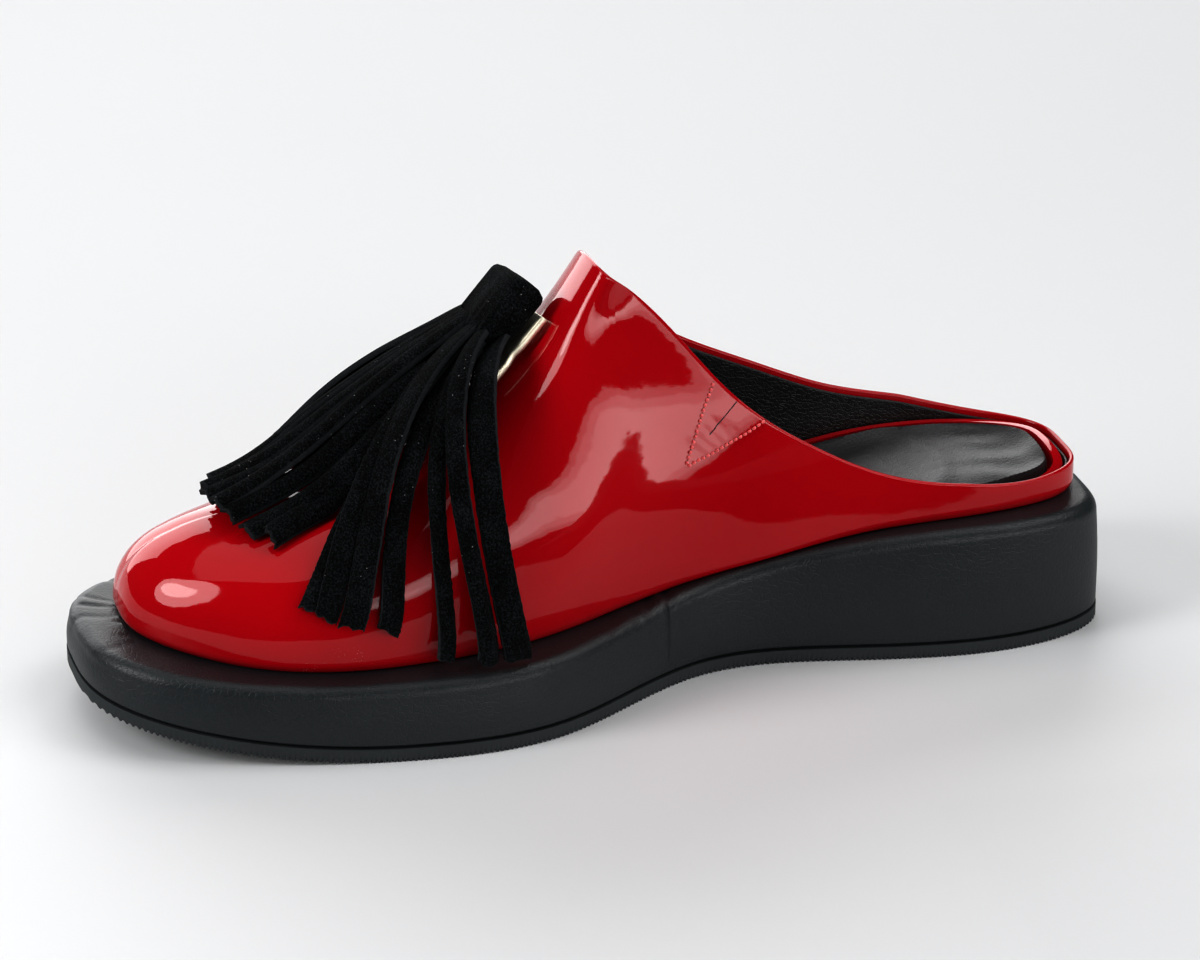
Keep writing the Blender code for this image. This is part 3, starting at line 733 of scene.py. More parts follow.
def upper_places(angles, shares, setback=0.0, tuck=0.0, tuck_height=1.0):
    """Outer face of the upper: a row of places for each angle, from the feather line up."""
    station, side = FEATHER.points(angles)
    spine = spine_of(station)
    inner = np.sin(angles) >= 0
    middle = RIDGE.side(spine)
    base = PLATFORM_TOP(station) + SEAT_GAP
    rise = RIDGE.height(spine) - base
    power = np.where(inner, RIDGE.medial_power(spine), RIDGE.lateral_power(spine))
    bulge = np.where(inner, RIDGE.medial_bulge(spine), RIDGE.lateral_bulge(spine))
    collar = np.where(inner, COLLAR.medial(station), COLLAR.lateral(station)) - setback
    behind = station < PEAK_STATION + setback * SETBACK_SLOPE
    level = np.where(behind, np.minimum((collar - base) / rise, 1.0), 1.0)
    reach = np.hypot(station - spine, side - middle)
    turn = np.arcsin(level ** (power / 2))[:, None] * shares[None, :]
    bow = (2 / power)[:, None]
    up = np.sin(turn) ** bow
    out = np.maximum(np.cos(turn), 0.0) ** bow
    out += (bulge / reach)[:, None] * np.maximum(np.sin(math.pi * up), 0.0) ** BULGE_POWER
    lean = np.where(inner, RIDGE.medial_lean(spine), 0.0)
    leaning = (rise[:, None] * up / LEAN_HEIGHT) ** 2 * (1 - smooth_step(up, *LEAN_FADE))
    out -= (lean / reach)[:, None] * leaning
    near_floor = np.clip(1 - rise[:, None] * up / tuck_height, 0.0, 1.0)
    out -= tuck / reach[:, None] * near_floor ** 2
    at = spine[:, None] + (station - spine)[:, None] * out
    across = middle[:, None] + (side - middle)[:, None] * out
    height = base[:, None] + (RIDGE.height(at) - base[:, None]) * up
    return np.stack([at, across, height], axis=-1)


def open_face(name, places):
    """Merged mesh of the grid of places that an upper or a lining follows."""
    mass = Mass()
    rows = mass.add(to_space(places))
    mass.grid(rows.T)
    return mass.mesh(name, FACE_MERGE)


def distance_to(places, start, end):
    """Distances of flat places from the straight line between two of them."""
    start = np.array(start)
    run = np.array(end) - start
    share = np.clip((places - start) @ run / (run @ run), 0.0, 1.0)
    return np.linalg.norm(places - start - share[:, None] * run, axis=1)


def crease_field(points):
    """How far the listed creases move the points sideways, in metres, towards the inner side."""
    move = np.zeros(len(points))
    place = points / MM
    at = np.stack([SOLE_LENGTH / 2 - place[:, 1], place[:, 2]], axis=1)
    for row in CREASE_ROWS:
        away = distance_to(at, (row.station, row.height), (row.end_station, row.end_height))
        same_side = smooth_step(place[:, 0] * row.side, *CREASE_SIDE)
        move -= row.side * same_side * row.depth * MM * np.exp(-(away / row.width) ** 2)
    return move


def rolled_wall(name, face, set_in, thickness):
    """Closed wall under a face: set in, thick, and with a round rim along each open edge."""
    work = bmesh.new()
    work.from_mesh(face)
    work.normal_update()
    work.verts.ensure_lookup_table()
    normals = np.array([v.normal for v in work.verts])
    outer = np.array([v.co for v in work.verts]) - normals * set_in
    mass = Mass()
    first = mass.add(outer)
    second = mass.add(outer - normals * thickness)
    corners = [[v.index for v in f.verts] for f in work.faces]
    mass.faces += [[int(first[i]) for i in face_corners] for face_corners in corners]
    mass.faces += [[int(second[i]) for i in reversed(face_corners)] for face_corners in corners]
    rims = {}
    for vert in work.verts:
        ends = [e.other_vert(vert) for e in vert.link_edges if e.is_boundary]
        if len(ends) != 2:
            continue
        away = (ends[0].co - ends[1].co).cross(vert.normal).normalized()
        inside = sum((f.calc_center_median() for f in vert.link_faces), Vector()) / len(vert.link_faces)
        if away.dot(vert.co - inside) < 0:
            away = -away
        middle = Vector(outer[vert.index]) - vert.normal * thickness / 2
        turns = [math.pi * k / (RIM_STEPS + 1) for k in range(1, RIM_STEPS + 1)]
        arc = [middle + (vert.normal * math.cos(t) + away * math.sin(t)) * thickness / 2 for t in turns]
        rims[vert.index] = [int(first[vert.index]), *mass.add(arc).tolist(), int(second[vert.index])]
    for edge in work.edges:
        if edge.is_boundary:
            near, far = (rims[v.index] for v in edge.verts)
            mass.face([(near[k], far[k], far[k + 1], near[k + 1]) for k in range(RIM_STEPS + 1)])
    work.free()
    return mass.mesh(name)


class MuleSizes(bpy.types.PropertyGroup):
    """Sizes of the dressed pieces that a user may change."""

    skin: FloatProperty(
        name="Skin", description="Thickness of the patent leather", default=0.0012, unit="LENGTH")
    lining: FloatProperty(
        name="Lining", description="Thickness of the lining inside the upper",
        default=0.0007, unit="LENGTH")
    lining_gap: FloatProperty(
        name="Lining gap", description="Play between the patent leather and the lining",
        default=0.0004, unit="LENGTH")
    setback: FloatProperty(
        name="Lining setback", description="How far below the collar's edge the lining ends",
        default=0.0013, unit="LENGTH")
    tuck: FloatProperty(
        name="Tuck", description="How far the upper's lower edge turns in", default=0.0011, unit="LENGTH")
    waviness: FloatProperty(
        name="Waviness", description="Height of the soft unevenness in the patent leather",
        default=0.00016, unit="LENGTH")
    edge: FloatProperty(
        name="Platform edge", description="Radius of the platform's soft top edge",
        default=0.0037, unit="LENGTH")
    rib: FloatProperty(
        name="Rib pitch", description="Distance between the ribs under the outsole",
        default=0.0013, unit="LENGTH")
    rib_depth: FloatProperty(
        name="Rib depth", description="Depth of the grooves between the ribs",
        default=0.0005, unit="LENGTH")
    pinking: FloatProperty(
        name="Pinking", description="Distance between the teeth of the insole's cut edge",
        default=0.0019, unit="LENGTH")
    crown: FloatProperty(
        name="Insole crown", description="How far the insole's padding stands up", default=0.0008,
        unit="LENGTH")
    suede: FloatProperty(
        name="Suede", description="Thickness of a tassel strip", default=0.0016, unit="LENGTH")
    stitch: FloatProperty(
        name="Stitch pitch", description="Distance between two stitches", default=0.0014, unit="LENGTH")
    thread: FloatProperty(
        name="Thread", description="Diameter of the sewing thread", default=0.0008, unit="LENGTH")
    lens: FloatProperty(
        name="Lens", description="Focal length of the camera, in millimetres",
        default=150.0, subtype="NONE")


class MuleColours(bpy.types.PropertyGroup):
    """Colours of the dressed pieces that a user may change."""

    patent: FloatVectorProperty(
        name="Patent", description="Red of the upper and the footbed's edge",
        default=(0.42, 0.0010, 0.007), subtype="COLOR")
    wrap: FloatVectorProperty(
        name="Platform", description="Black of the platform's leather",
        default=(0.0088, 0.0124, 0.0146), subtype="COLOR")
    sock: FloatVectorProperty(
        name="Insole", description="Black of the insole", default=(0.021, 0.021, 0.023),
        subtype="COLOR")
    lining: FloatVectorProperty(
        name="Lining", description="Black of the lining inside the upper", default=(0.0024, 0.0026, 0.0030),
        subtype="COLOR")
    rubber: FloatVectorProperty(
        name="Outsole", description="Dark grey of the rubber", default=(0.021, 0.025, 0.027),
        subtype="COLOR")
    suede: FloatVectorProperty(
        name="Suede", description="Black of the tassel", default=(0.0040, 0.0047, 0.0053), subtype="COLOR")
    cut: FloatVectorProperty(
        name="Cut edge", description="Grey of the tassel's cut edges", default=(0.050, 0.055, 0.060),
        subtype="COLOR")
    metal: FloatVectorProperty(
        name="Plate", description="Pale gold of the tassel's plate", default=(0.92, 0.86, 0.70),
        subtype="COLOR")
    thread: FloatVectorProperty(
        name="Thread", description="Coral red of the stitches", default=(0.95, 0.17, 0.17),
        subtype="COLOR")
    # Dark red painted shade, put in place of the shade inside the needle holes and the slit
    gap: FloatVectorProperty(
        name="Gaps", description="Dark red of needle holes and slit", default=(0.025, 0.001, 0.002),
        subtype="COLOR")
    floor: FloatVectorProperty(
        name="Floor", description="Pale studio floor", default=(0.65, 0.654, 0.66), subtype="COLOR")


class MULE_OT_upper(bpy.types.Operator):
    """Make the patent skin of the upper, with its rolled collar and its lining"""

    bl_idname = "mule.upper"
    bl_label = "Upper"

    foot_shares = [0.0, 0.0015, 0.004, 0.008, 0.013, 0.02]
    first_share = 0.03
    tuck_height = 2.4
    short_share = 0.35

    # Waves of the leather, in metres
    long_wave = 0.024
    short_wave = 0.011

    def execute(self, context):
        sizes = context.scene.mule_sizes
        colours = context.scene.mule_colours
        tuck = sizes.tuck / MM
        shares = np.concatenate([self.foot_shares, np.linspace(self.first_share, 1.0, UPPER_ROWS)])
        places = upper_places(upper_angles(UPPER_COLUMNS), shares, 0.0, tuck, self.tuck_height)
        face = open_face(OUTER_FACE, places)
        self.press_creases(face, sizes.waviness)
        skin = add_piece(
            "upper_skin", rolled_wall("upper_skin", face, 0.0, sizes.skin),
            patent_leather("patent_red", colours.patent))
        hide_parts("upper")
        shares = np.linspace(0.0, 1.0, LINING_ROWS)
        setback = sizes.setback / MM
        places = upper_places(upper_angles(LINING_COLUMNS), shares, setback, tuck, self.tuck_height)
        inside = open_face("lining_face", places)
        self.press_creases(inside, sizes.waviness)
        wall = rolled_wall("upper_lining", inside, sizes.skin + sizes.lining_gap, sizes.lining)
        add_piece("upper_lining", wall, sock_leather("lining_black", colours.lining))
        return {"FINISHED"}

    def press_creases(self, face, waviness):
        """Move the face's points by the listed creases and the leather's own waviness."""
        points = np.array([v.co for v in face.vertices])
        normals = np.array([v.normal for v in face.vertices])
        long_waves = ripple(points, self.long_wave, seed=1.0)
        short_waves = ripple(points, self.short_wave, seed=2.0)
        swell = waviness * (long_waves + self.short_share * short_waves)
        moved = points + normals * swell[:, None]
        moved[:, 0] += crease_field(points)
        face.vertices.foreach_set("co", moved.ravel())
        face.update()


class MULE_OT_platform(bpy.types.Operator):
    """Make the leather-wrapped platform with its soft edge"""

    bl_idname = "mule.platform"
    bl_label = "Platform"

    clear = 0.1
    base_radius = 0.9
    base_flat = 0.8
    base_steps = 4
    lean = 0.8
    belly = 0.35
    wall_steps = 10
    edge_steps = 12
    ledge_insets = 4.0, 9.0
    crest_drop = 2.0
    crest_width = 2.5
    fold_heights = 4.2, 6.0

    # Pulls and puckers of the leather, in metres
    pull = 0.00012
    pull_size = 0.030
    pucker = 0.00016
    pucker_size = 0.007

    def execute(self, context):
        sizes = context.scene.mule_sizes
        angles = SOLE.even_angles(SOLE_POINTS)
        radius = sizes.edge / MM
        mass = Mass()
        rows = []
        for inset, height in self.profile(radius):
            loop = SOLE.loop(angles, inset)
            places = np.column_stack([loop, height(loop[:, 0])])
            rows.append(mass.add(to_space(places)))
        mass.grid(rows)
        mass.cap(rows[0])
        mass.cap(rows[-1])
        mesh = mass.mesh("platform_wrap")
        self.wrinkle(mesh)
        piece = add_piece(
            "platform_wrap", mesh, wrap_leather("wrap_black", context.scene.mule_colours.wrap))
        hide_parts("platform")
        return {"FINISHED"}

    def profile(self, radius):
        """Insets and heights of the loops, from the outsole up to the ledge."""
        def low(station):
            return floor_height(station) + OUTSOLE_THICKNESS + SEAT_GAP

        def between(share):
            start = self.base_radius

            def height(station):
                top = PLATFORM_TOP(station) - radius
                return low(station) + start + (top - low(station) - start) * share

            return height

        def under_top(drop):
            return lambda station: PLATFORM_TOP(station) - drop

        rows = []
        for step in range(self.base_steps):
            turn = math.radians(90 * step / self.base_steps)
            rise = self.base_radius * math.sin(turn)
            inset = self.base_radius * (1 - math.sin(turn)) + self.clear
            rows.append((inset, lambda s, rise=rise: low(s) + rise * self.base_flat))
        for step in range(self.wall_steps):
            share = step / self.wall_steps
            belly = self.belly * math.sin(math.pi * share)
            rows.append((self.clear + self.lean * share - belly, between(share)))
        for step in range(self.edge_steps + 1):
            turn = math.radians(90 * step / self.edge_steps)
            inset = self.lean + self.clear + radius * (1 - math.cos(turn))
            rows.append((inset, under_top(radius * (1 - math.sin(turn)))))
        rows += [(radius + inset, under_top(0.0)) for inset in self.ledge_insets]
        return rows

    def wrinkle(self, mesh):
        """Let the leather pucker along the edge and pull a little over the wall."""
        points = np.array([v.co for v in mesh.vertices])
        normals = np.array([v.normal for v in mesh.vertices])
        stations = SOLE_LENGTH / 2 - points[:, 1] / MM
        drop = PLATFORM_TOP(stations) - points[:, 2] / MM
        crest = np.exp(-((drop - self.crest_drop) / self.crest_width) ** 2)
        push = self.pull * ripple(points, self.pull_size, seed=5.0)
        push += crest * self.pucker * ripple(points, self.pucker_size, seed=6.0)
        plan = np.stack([stations, points[:, 0] / MM - AXIS_SIDE], axis=1)
        for row in FOLD_ROWS:
            away = distance_to(plan, (row.station, row.side), (row.end_station, row.end_side))
            push -= row.depth * MM * np.exp(-(away / row.width) ** 2)
        above = smooth_step(points[:, 2] / MM - floor_height(stations), *self.fold_heights)
        moved = points + normals * (push * above)[:, None]
        mesh.vertices.foreach_set("co", moved.ravel())
        mesh.update()


class MULE_OT_outsole(bpy.types.Operator):
    """Make the rubber outsole with ribs across its underside"""

    bl_idname = "mule.outsole"
    bl_label = "Outsole"

    groove_shape = [0.0, 1.0, 1.0, 0.0]
    groove_bite = 0.25
    across_points = 5
    edge_drops = 0.55, 0.2, 0.0
    end_gap = 0.05

    def execute(self, context):
        sizes = context.scene.mule_sizes
        pitch = sizes.rib / MM
        per_rib = len(self.groove_shape)
        count = int(SOLE_LENGTH / pitch) * per_rib
        stations = np.linspace(self.end_gap, SOLE_LENGTH - self.end_gap, count + 1)
        angles = SOLE.angle(stations)
        medial = SOLE.points(angles)[1]
        lateral = SOLE.points(2 * math.pi - angles)[1]
        groove = np.array(self.groove_shape)[np.arange(count + 1) % per_rib]
        depth = groove * sizes.rib_depth / MM
        low = floor_height(stations) + depth
        high = floor_height(stations) + OUTSOLE_THICKNESS
        bite = self.groove_bite * groove
        mass = Mass()
        rows = []
        for share in np.linspace(0.0, 1.0, self.across_points):
            side = medial - bite + (lateral - medial + 2 * bite) * share
            rows.append(mass.add(to_space(np.column_stack([stations, side, low]))))
        for side, drops in ((lateral, self.edge_drops), (medial, self.edge_drops[::-1])):
            for drop in drops:
                height = low + (high - low) * (1 - drop)
                rows.append(mass.add(to_space(np.column_stack([stations, side, height]))))
        rows.append(rows[0])
        mass.grid(rows, closed=False)
        ring = np.array(rows[:-1])
        for end in (0, -1):
            mass.faces.append(ring[:, end].tolist())
        piece = add_piece(
            "outsole_sheet", mass.mesh("outsole_sheet"),
            rubber("rubber_black", context.scene.mule_colours.rubber), sharp=30.0)
        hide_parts("outsole")
        return {"FINISHED"}


class MULE_OT_insole(bpy.types.Operator):
    """Make the red-edged footbed and the padded insole on it"""

    bl_idname = "mule.insole"
    bl_label = "Footbed and insole"

    board_edge = 0.7
    board_inner = 4.0
    edge_steps = 4
    sock_edge = 1.3
    rim_drop = 0.3
    rim_draw = 0.45
    spine_ends = 30.0, 232.0
    spine_share = 0.35
    cup_share = 0.45
    crown_reach = 2.2
    tooth = 0.28
    rings = 16
    ring_shares = 0.03, 0.97
    girth_points = 2001

    # Wrinkles of the sock
    crescent_station = 66.0
    crescent_stretch = 1.1
    crescent_radius = 26.0
    crescent_height = 0.45
    crescent_width = 3.0
    crescent_ends = -6.0, 10.0
    pull_station = 24.0
    pull_reach = 9.0
    pull_height = 0.28
    pull_wave = 0.55
    pull_drift = 0.8
    pull_turn = 0.21

    def execute(self, context):
        sizes = context.scene.mule_sizes
        colours = context.scene.mule_colours
        board = add_piece(
            "footbed_board", self.board_mesh(), patent_leather("footbed_red", colours.patent))
        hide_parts("footbed")
        pad = add_piece(
            "insole_pad", self.pad_mesh(sizes), sock_leather("insole_black", colours.sock))
        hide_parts("insole")
        return {"FINISHED"}

    def board_mesh(self):
        """Board with a rounded upper edge."""
        angles = FEATHER.even_angles(SOLE_POINTS)
        inset = UPPER_WALL + BOARD_CLEARANCE
        base = SEAT_GAP
        top = SEAT_GAP + BOARD_THICKNESS
        layers = [(inset, base, 0.0)]
        for step in range(self.edge_steps + 1):
            turn = math.radians(90 * step / self.edge_steps)
            layers.append((inset + self.board_edge * (1 - math.cos(turn)),
                           top - self.board_edge * (1 - math.sin(turn)), LIP_RISE))
        foot = inset + LIP_WIDTH + LIP_SLOPE
        layers += [(inset + LIP_WIDTH, top, LIP_RISE), (foot, top, 0.0)]
        layers.append((foot + self.board_inner, top, 0.0))
        mass = Mass()
        rows = []
        for edge, lift, lip in layers:
            loop = FEATHER.loop(angles, edge)
            height = PLATFORM_TOP(loop[:, 0]) + lift + lip * np.sqrt(heel_cup(*loop.T))
            rows.append(mass.add(to_space(np.column_stack([loop, height]))))
        mass.grid(rows)
        mass.cap(rows[0])
        mass.cap(rows[-1])
        return mass.mesh("footbed_board")

    def pad_mesh(self, sizes):
        """Pad whose rim is pinked, whose top is crowned, and which wrinkles at the heel."""
        count = 2 * int(self.girth() / sizes.pinking * MM)
        angles = FEATHER.even_angles(count)
        inset = UPPER_WALL + BOARD_CLEARANCE + SOCK_MARGIN
        rim = FEATHER.loop(angles, inset)
        along = np.clip(rim[:, 0], *self.spine_ends)
        middle = np.column_stack([along, RIDGE.side(rim[:, 0]) * self.spine_share])
        teeth = self.tooth * (np.arange(count) % 2)
        inward = (middle - rim) / np.linalg.norm(middle - rim, axis=1)[:, None]
        rim = rim + inward * teeth[:, None]
        mass = Mass()
        rows = []
        top = SOCK_THICKNESS
        for lift, draw in ((0.0, 0.0), (top - self.sock_edge, 0.0), (top - self.rim_drop, self.rim_draw)):
            loop = rim + inward * draw
            height = sock_base(loop[:, 0]) + lift + (CUP_RISE * heel_cup(*rim.T) if lift else 0.0)
            rows.append(mass.add(to_space(np.column_stack([loop, height]))))
        for share in np.linspace(*self.ring_shares, self.rings):
            loop = rim + (middle - rim) * share
            swell = sizes.crown / MM * math.sin(math.pi * min(share * self.crown_reach, 1.0) / 2)
            cup = CUP_RISE * heel_cup(*rim.T) * max(1 - share / self.cup_share, 0.0) ** 2
            places = np.column_stack([loop, sock_base(loop[:, 0]) + top + swell + cup])
            places[:, 2] += self.wrinkles(places)
            rows.append(mass.add(to_space(places)))
        mass.grid(rows)
        mass.cap(rows[0])
        mass.cap(rows[-1])
        return mass.mesh("insole_pad", 2 * FACE_MERGE)

    def girth(self):
        """Length of the feather line."""
        points = FEATHER.loop(np.linspace(0.0, 2 * math.pi, self.girth_points))
        return np.linalg.norm(np.diff(points, axis=0), axis=1).sum()

    def wrinkles(self, places):
        """Soft folds of the sock: a crescent under the heel and pulls behind it."""
        station, side = places[:, 0], places[:, 1]
        behind = self.crescent_station - station
        crescent = np.hypot(behind, side * self.crescent_stretch) - self.crescent_radius
        ridge = self.crescent_height * np.exp(-(crescent / self.crescent_width) ** 2)
        ridge *= smooth_step(behind, *self.crescent_ends)
        pulls = np.sin(side * self.pull_wave + self.pull_drift * np.sin(station * self.pull_turn))
        pulls *= np.exp(-((station - self.pull_station) / self.pull_reach) ** 2)
        return ridge + self.pull_height * pulls


class Seat:
    """Frame of the plate on the instep: along it towards the toe, across it, and out of the upper."""

    def __init__(self, tree):
        height = float(RIDGE.height(PLATE_STATION))
        guess = Vector(to_space((PLATE_STATION, PLATE_SIDE, height)))
        self.place, self.out, _, _ = tree.find_nearest(guess)
        ahead = Vector((0.0, -1.0, 0.0))
        self.along = (ahead - ahead.dot(self.out) * self.out).normalized()
        self.across = self.out.cross(self.along).normalized()

    def point(self, along, across, out):
        """Scene point at distances, in millimetres, from the seat's middle."""
        return self.place + (self.along * along + self.across * across + self.out * out) * MM


class MULE_OT_plate(bpy.types.Operator):
    """Make the pale gold plate under the tassel"""

    bl_idname = "mule.plate"
    bl_label = "Plate"

    steps = 16
    soft_edge = 0.25
    dent_depth = 0.35
    dent_place = 1.5
    dent_width = 1.6

    def execute(self, context):
        seat = Seat(tree_of(need_piece("upper_skin").data))
        mass = Mass()
        rows = []
        soft = self.soft_edge
        layers = ((0.0, soft), (soft, 0.0), (PLATE_THICKNESS - soft, 0.0), (PLATE_THICKNESS, soft))
        for out, shrink in layers:
            rows.append(mass.add(self.rim(seat, shrink, PLATE_LIFT + out)))
        mass.grid(rows)
        mass.fan(rows[0])
        mass.fan(rows[-1])
        piece = add_piece(
            "tassel_plate", mass.mesh("tassel_plate"),
            clip_metal("plate_gold", context.scene.mule_colours.metal))
        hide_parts("tassel_clip")
        return {"FINISHED"}

    def rim(self, seat, shrink, out):
        """Points round the plate, with a dent where it was pressed."""
        half = PLATE_WIDTH / 2 - shrink
        length = (PLATE_END - PLATE_START) / 2 - shrink
        points = []
        for along, across in self.corners(half, length):
            off = (along - self.dent_place) / self.dent_width
            dent = self.dent_depth * math.exp(-off ** 2) if across > 0 else 0.0
            points.append(seat.point(along + (PLATE_START + PLATE_END) / 2, across - dent, out + dent))
        return points

    def corners(self, half, length):
        """Places round the plate's four sides."""
        shares = np.linspace(-1.0, 1.0, self.steps, endpoint=False)
        yield from ((length * s, half) for s in shares)
        yield from ((length, -half * s) for s in shares)
        yield from ((-length * s, -half) for s in shares)
        yield from ((-length, half * s) for s in shares)


class MULE_OT_tassel(bpy.types.Operator):
    """Make the suede tassel: its folded head and its layered strips"""

    bl_idname = "mule.tassel"
    bl_label = "Tassel"

    # Head
    head_points = 96
    head_steps = 30
    head_over = 1.0
    head_flare = 0.4
    head_narrowing = 0.12
    head_thinning = 0.14
    thinning_shares = 0.3, 1.0
    head_powers = 0.5, 0.6
    dome_end = 0.10
    dome_low = 0.45
    fold_height = 0.55
    fold_sides = 2.2, 2.9
    groove_depth = 0.55
    groove_power = 1.5
    groove_wave = 1.5
    groove_drift = 0.5
    groove_from = -0.2

    # Strips
    clearance = 0.45
    first_lift = 1.1
    layer_step = 1.6
    end_step = 0.65
    head_share = 0.72
    tuck_in = 8.0
    roll_shares = 0.0, 0.2
    section = [-1.0, -0.93, -0.6, -0.2, 0.2, 0.6, 0.93, 1.0]
    cut_from = 0.99
    cut_thinning = 0.7
    edge_rag = 0.06
    rag_power = 4
    end_rag = 0.6
    end_slant = 1.0
    end_steps = 5
    curl_start = 0.4
    curl_change = 0.3
    curl_wave = 5
    width_change = 0.05
    width_wave = 7
    level_change = 0.35
    level_wave = 9
    sway = 0.7
    sway_wave = 6
    wave_span = 6.0
    seed = 11

    def execute(self, context):
        sizes = context.scene.mule_sizes
        colours = context.scene.mule_colours
        self.seat = Seat(tree_of(need_piece("upper_skin").data))
        self.tree = tree_of(bpy.data.meshes[OUTER_FACE])
        finish = suede("suede_black", colours.suede, colours.cut)
        head = add_piece("tassel_head", self.head_mesh(), finish, sharp=60.0)
        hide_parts("tassel")
        mass = Mass()
        for index in range(len(STRIP_ROWS)):
            self.add_strip(mass, index, sizes.suede / MM)
        strips = add_piece("tassel_strips", mass.mesh("tassel_strips"), finish, sharp=60.0)
        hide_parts("tassel")
        return {"FINISHED"}

    def head_mesh(self):
        """Wrapped head: a soft flat roll with a fold down its face, grooved towards the strips."""
        mass = Mass()
        rows = []
        turns = np.linspace(0.0, 2 * math.pi, self.head_points, endpoint=False)
        for step in range(self.head_steps + 1):
            share = step / self.head_steps
            along = HEAD_TOP + (HEAD_END + self.head_over - HEAD_TOP) * share
            dome = (1 - (1 - min(share / self.dome_end, 1.0)) ** 2) ** 0.5
            dome = min(1.0, dome * (1 - self.dome_low) + self.dome_low)
            narrowing = 1 - self.head_narrowing + self.head_narrowing * dome
            half = (HEAD_WIDTH / 2 + self.head_flare * share) * narrowing
            thinning = 1 - self.head_thinning * smooth_step(share, *self.thinning_shares)
            thick = HEAD_THICKNESS / 2 * dome * thinning
            points = []
            for turn in turns:
                c, s = math.cos(turn), math.sin(turn)
                across = half * math.copysign(abs(c) ** self.head_powers[0], c)
                out = thick * math.copysign(abs(s) ** self.head_powers[1], s)
                fold = self.fold(across) if s > 0 else 0.0
                groove = self.groove(across, share) if s > self.groove_from else 0.0
                lift = HEAD_LOW + HEAD_THICKNESS / 2 + out + fold + groove
                points.append(self.seat.point(along, across + HEAD_SHIFT, lift))
            rows.append(mass.add(points))
        mass.grid(rows)
        mass.fan(rows[0])
        mass.fan(rows[-1])
        return mass.mesh("tassel_head")

    def fold(self, across):
        """Height of the fold down the head's face."""
        return self.fold_height * float(smooth_step(across, *self.fold_sides))

    def groove(self, across, share):
        """Height of the head's grooves, which deepen towards the strips."""
        wave = math.cos(across * self.groove_wave + self.groove_drift * math.sin(across))
        return self.groove_depth * share ** self.groove_power * wave

    def path(self, index):
        """Middle line of one strip, from inside the head to where it comes to lie."""
        row = STRIP_ROWS[index]
        across = HEAD_WIDTH * self.head_share * ((index + 0.5) / len(STRIP_ROWS) - 0.5) + HEAD_SHIFT
        lift = HEAD_LOW + self.first_lift + row.layer * self.layer_step
        start = self.seat.point(HEAD_END - self.tuck_in, across, lift)
        turn = math.radians(row.turn)
        run = self.seat.along * math.cos(turn) + self.seat.across * math.sin(turn)
        end = Vector(to_space((row.station, row.side, row.height)))
        _, out, _, _ = self.tree.find_nearest(end)
        end = end + out * (self.end_step * row.layer) * MM
        hanging = out * FALL_OUT + Vector((0.0, 0.0, FALL_UP))
        back = start - end
        lying = Vector((back.x, back.y, back.z * LIE_RISE)).normalized() * LIE_BACK + out * LIE_OUT
        fall = end + (hanging * row.hang + lying * (1 - row.hang)) * MM
        spring = start + (run * (STRIP_RUN + self.tuck_in) + self.seat.out * STRIP_SPRING) * MM
        shares = np.linspace(0.0, 1.0, STRIP_STEPS + 1)[:, None]
        a, b, c, d = (np.array(point) for point in (start, spring, fall, end))
        rest = 1 - shares
        return a * rest ** 3 + b * 3 * rest ** 2 * shares + c * 3 * rest * shares ** 2 + d * shares ** 3

    def frames(self, path, row):
        """Smoothed sideways and outward directions along a path, turned by the strip's roll and twist."""
        ahead = np.gradient(path, axis=0)
        ahead /= np.linalg.norm(ahead, axis=1)[:, None]
        out = np.array([self.tree.find_nearest(Vector(point))[1] for point in path])
        out[0] = self.seat.out
        window = np.ones(PATH_SMOOTHING) / PATH_SMOOTHING
        padded = np.pad(out, ((PATH_SMOOTHING // 2,) * 2, (0, 0)), mode="edge")
        out = np.stack([np.convolve(padded[:, k], window, "valid") for k in range(3)], axis=1)
        sideways = np.cross(out, ahead)
        sideways /= np.linalg.norm(sideways, axis=1)[:, None]
        out = np.cross(ahead, sideways)
        shares = np.linspace(0.0, 1.0, len(path))[:, None]
        rolled = row.roll * (1 - shares) * smooth_step(shares, *self.roll_shares)
        turn = -np.radians(rolled + row.twist * shares)
        return sideways * np.cos(turn) + out * np.sin(turn), out * np.cos(turn) - sideways * np.sin(turn)

    def add_strip(self, mass, index, thickness):
        """One strip: a flat ribbon with ragged cut edges, curled across and laid clear of the upper."""
        row = STRIP_ROWS[index]
        path = self.path(index)
        sideways, out = self.frames(path, row)
        ahead = np.gradient(path, axis=0) * STRIP_STEPS
        ahead /= np.linalg.norm(ahead, axis=1)[:, None]
        count = len(self.section)
        section = np.array(self.section + self.section[::-1])
        face = np.repeat([1.0, -1.0], count)
        cut = np.abs(section) > self.cut_from
        draw = random.Random(index + self.seed)
        wave = draw.uniform(0.0, self.wave_span)
        snip = [draw.uniform(-self.end_rag, self.end_rag) for _ in range(count)]
        slant = draw.uniform(-self.end_slant, self.end_slant)
        end_cut = np.array(snip + snip[::-1]) + slant * section
        rows = []
        for step in range(STRIP_STEPS + 1):
            share = step / STRIP_STEPS
            curl = row.curl * (self.curl_start + (1 - self.curl_start) * share)
            curl *= 1 + self.curl_change * math.sin(self.curl_wave * share + wave)
            level = face * thickness / 2 * np.where(cut, self.cut_thinning, 1.0) + curl * section ** 2
            level += self.level_change * math.sin(self.level_wave * share + wave) * share
            rag = [draw.gauss(0.0, self.edge_rag) for _ in range(2)]
            half = row.width / 2 * (1 + self.width_change * math.sin(self.width_wave * share + 2 * wave))
            ragged = np.where(section < 0, rag[0], rag[1]) * np.abs(section) ** self.rag_power
            spread = section * half + ragged
            spread += self.sway * math.sin(self.sway_wave * share + 3 * wave) * share
            near_end = max(1 - (STRIP_STEPS - step) / self.end_steps, 0.0) ** 2
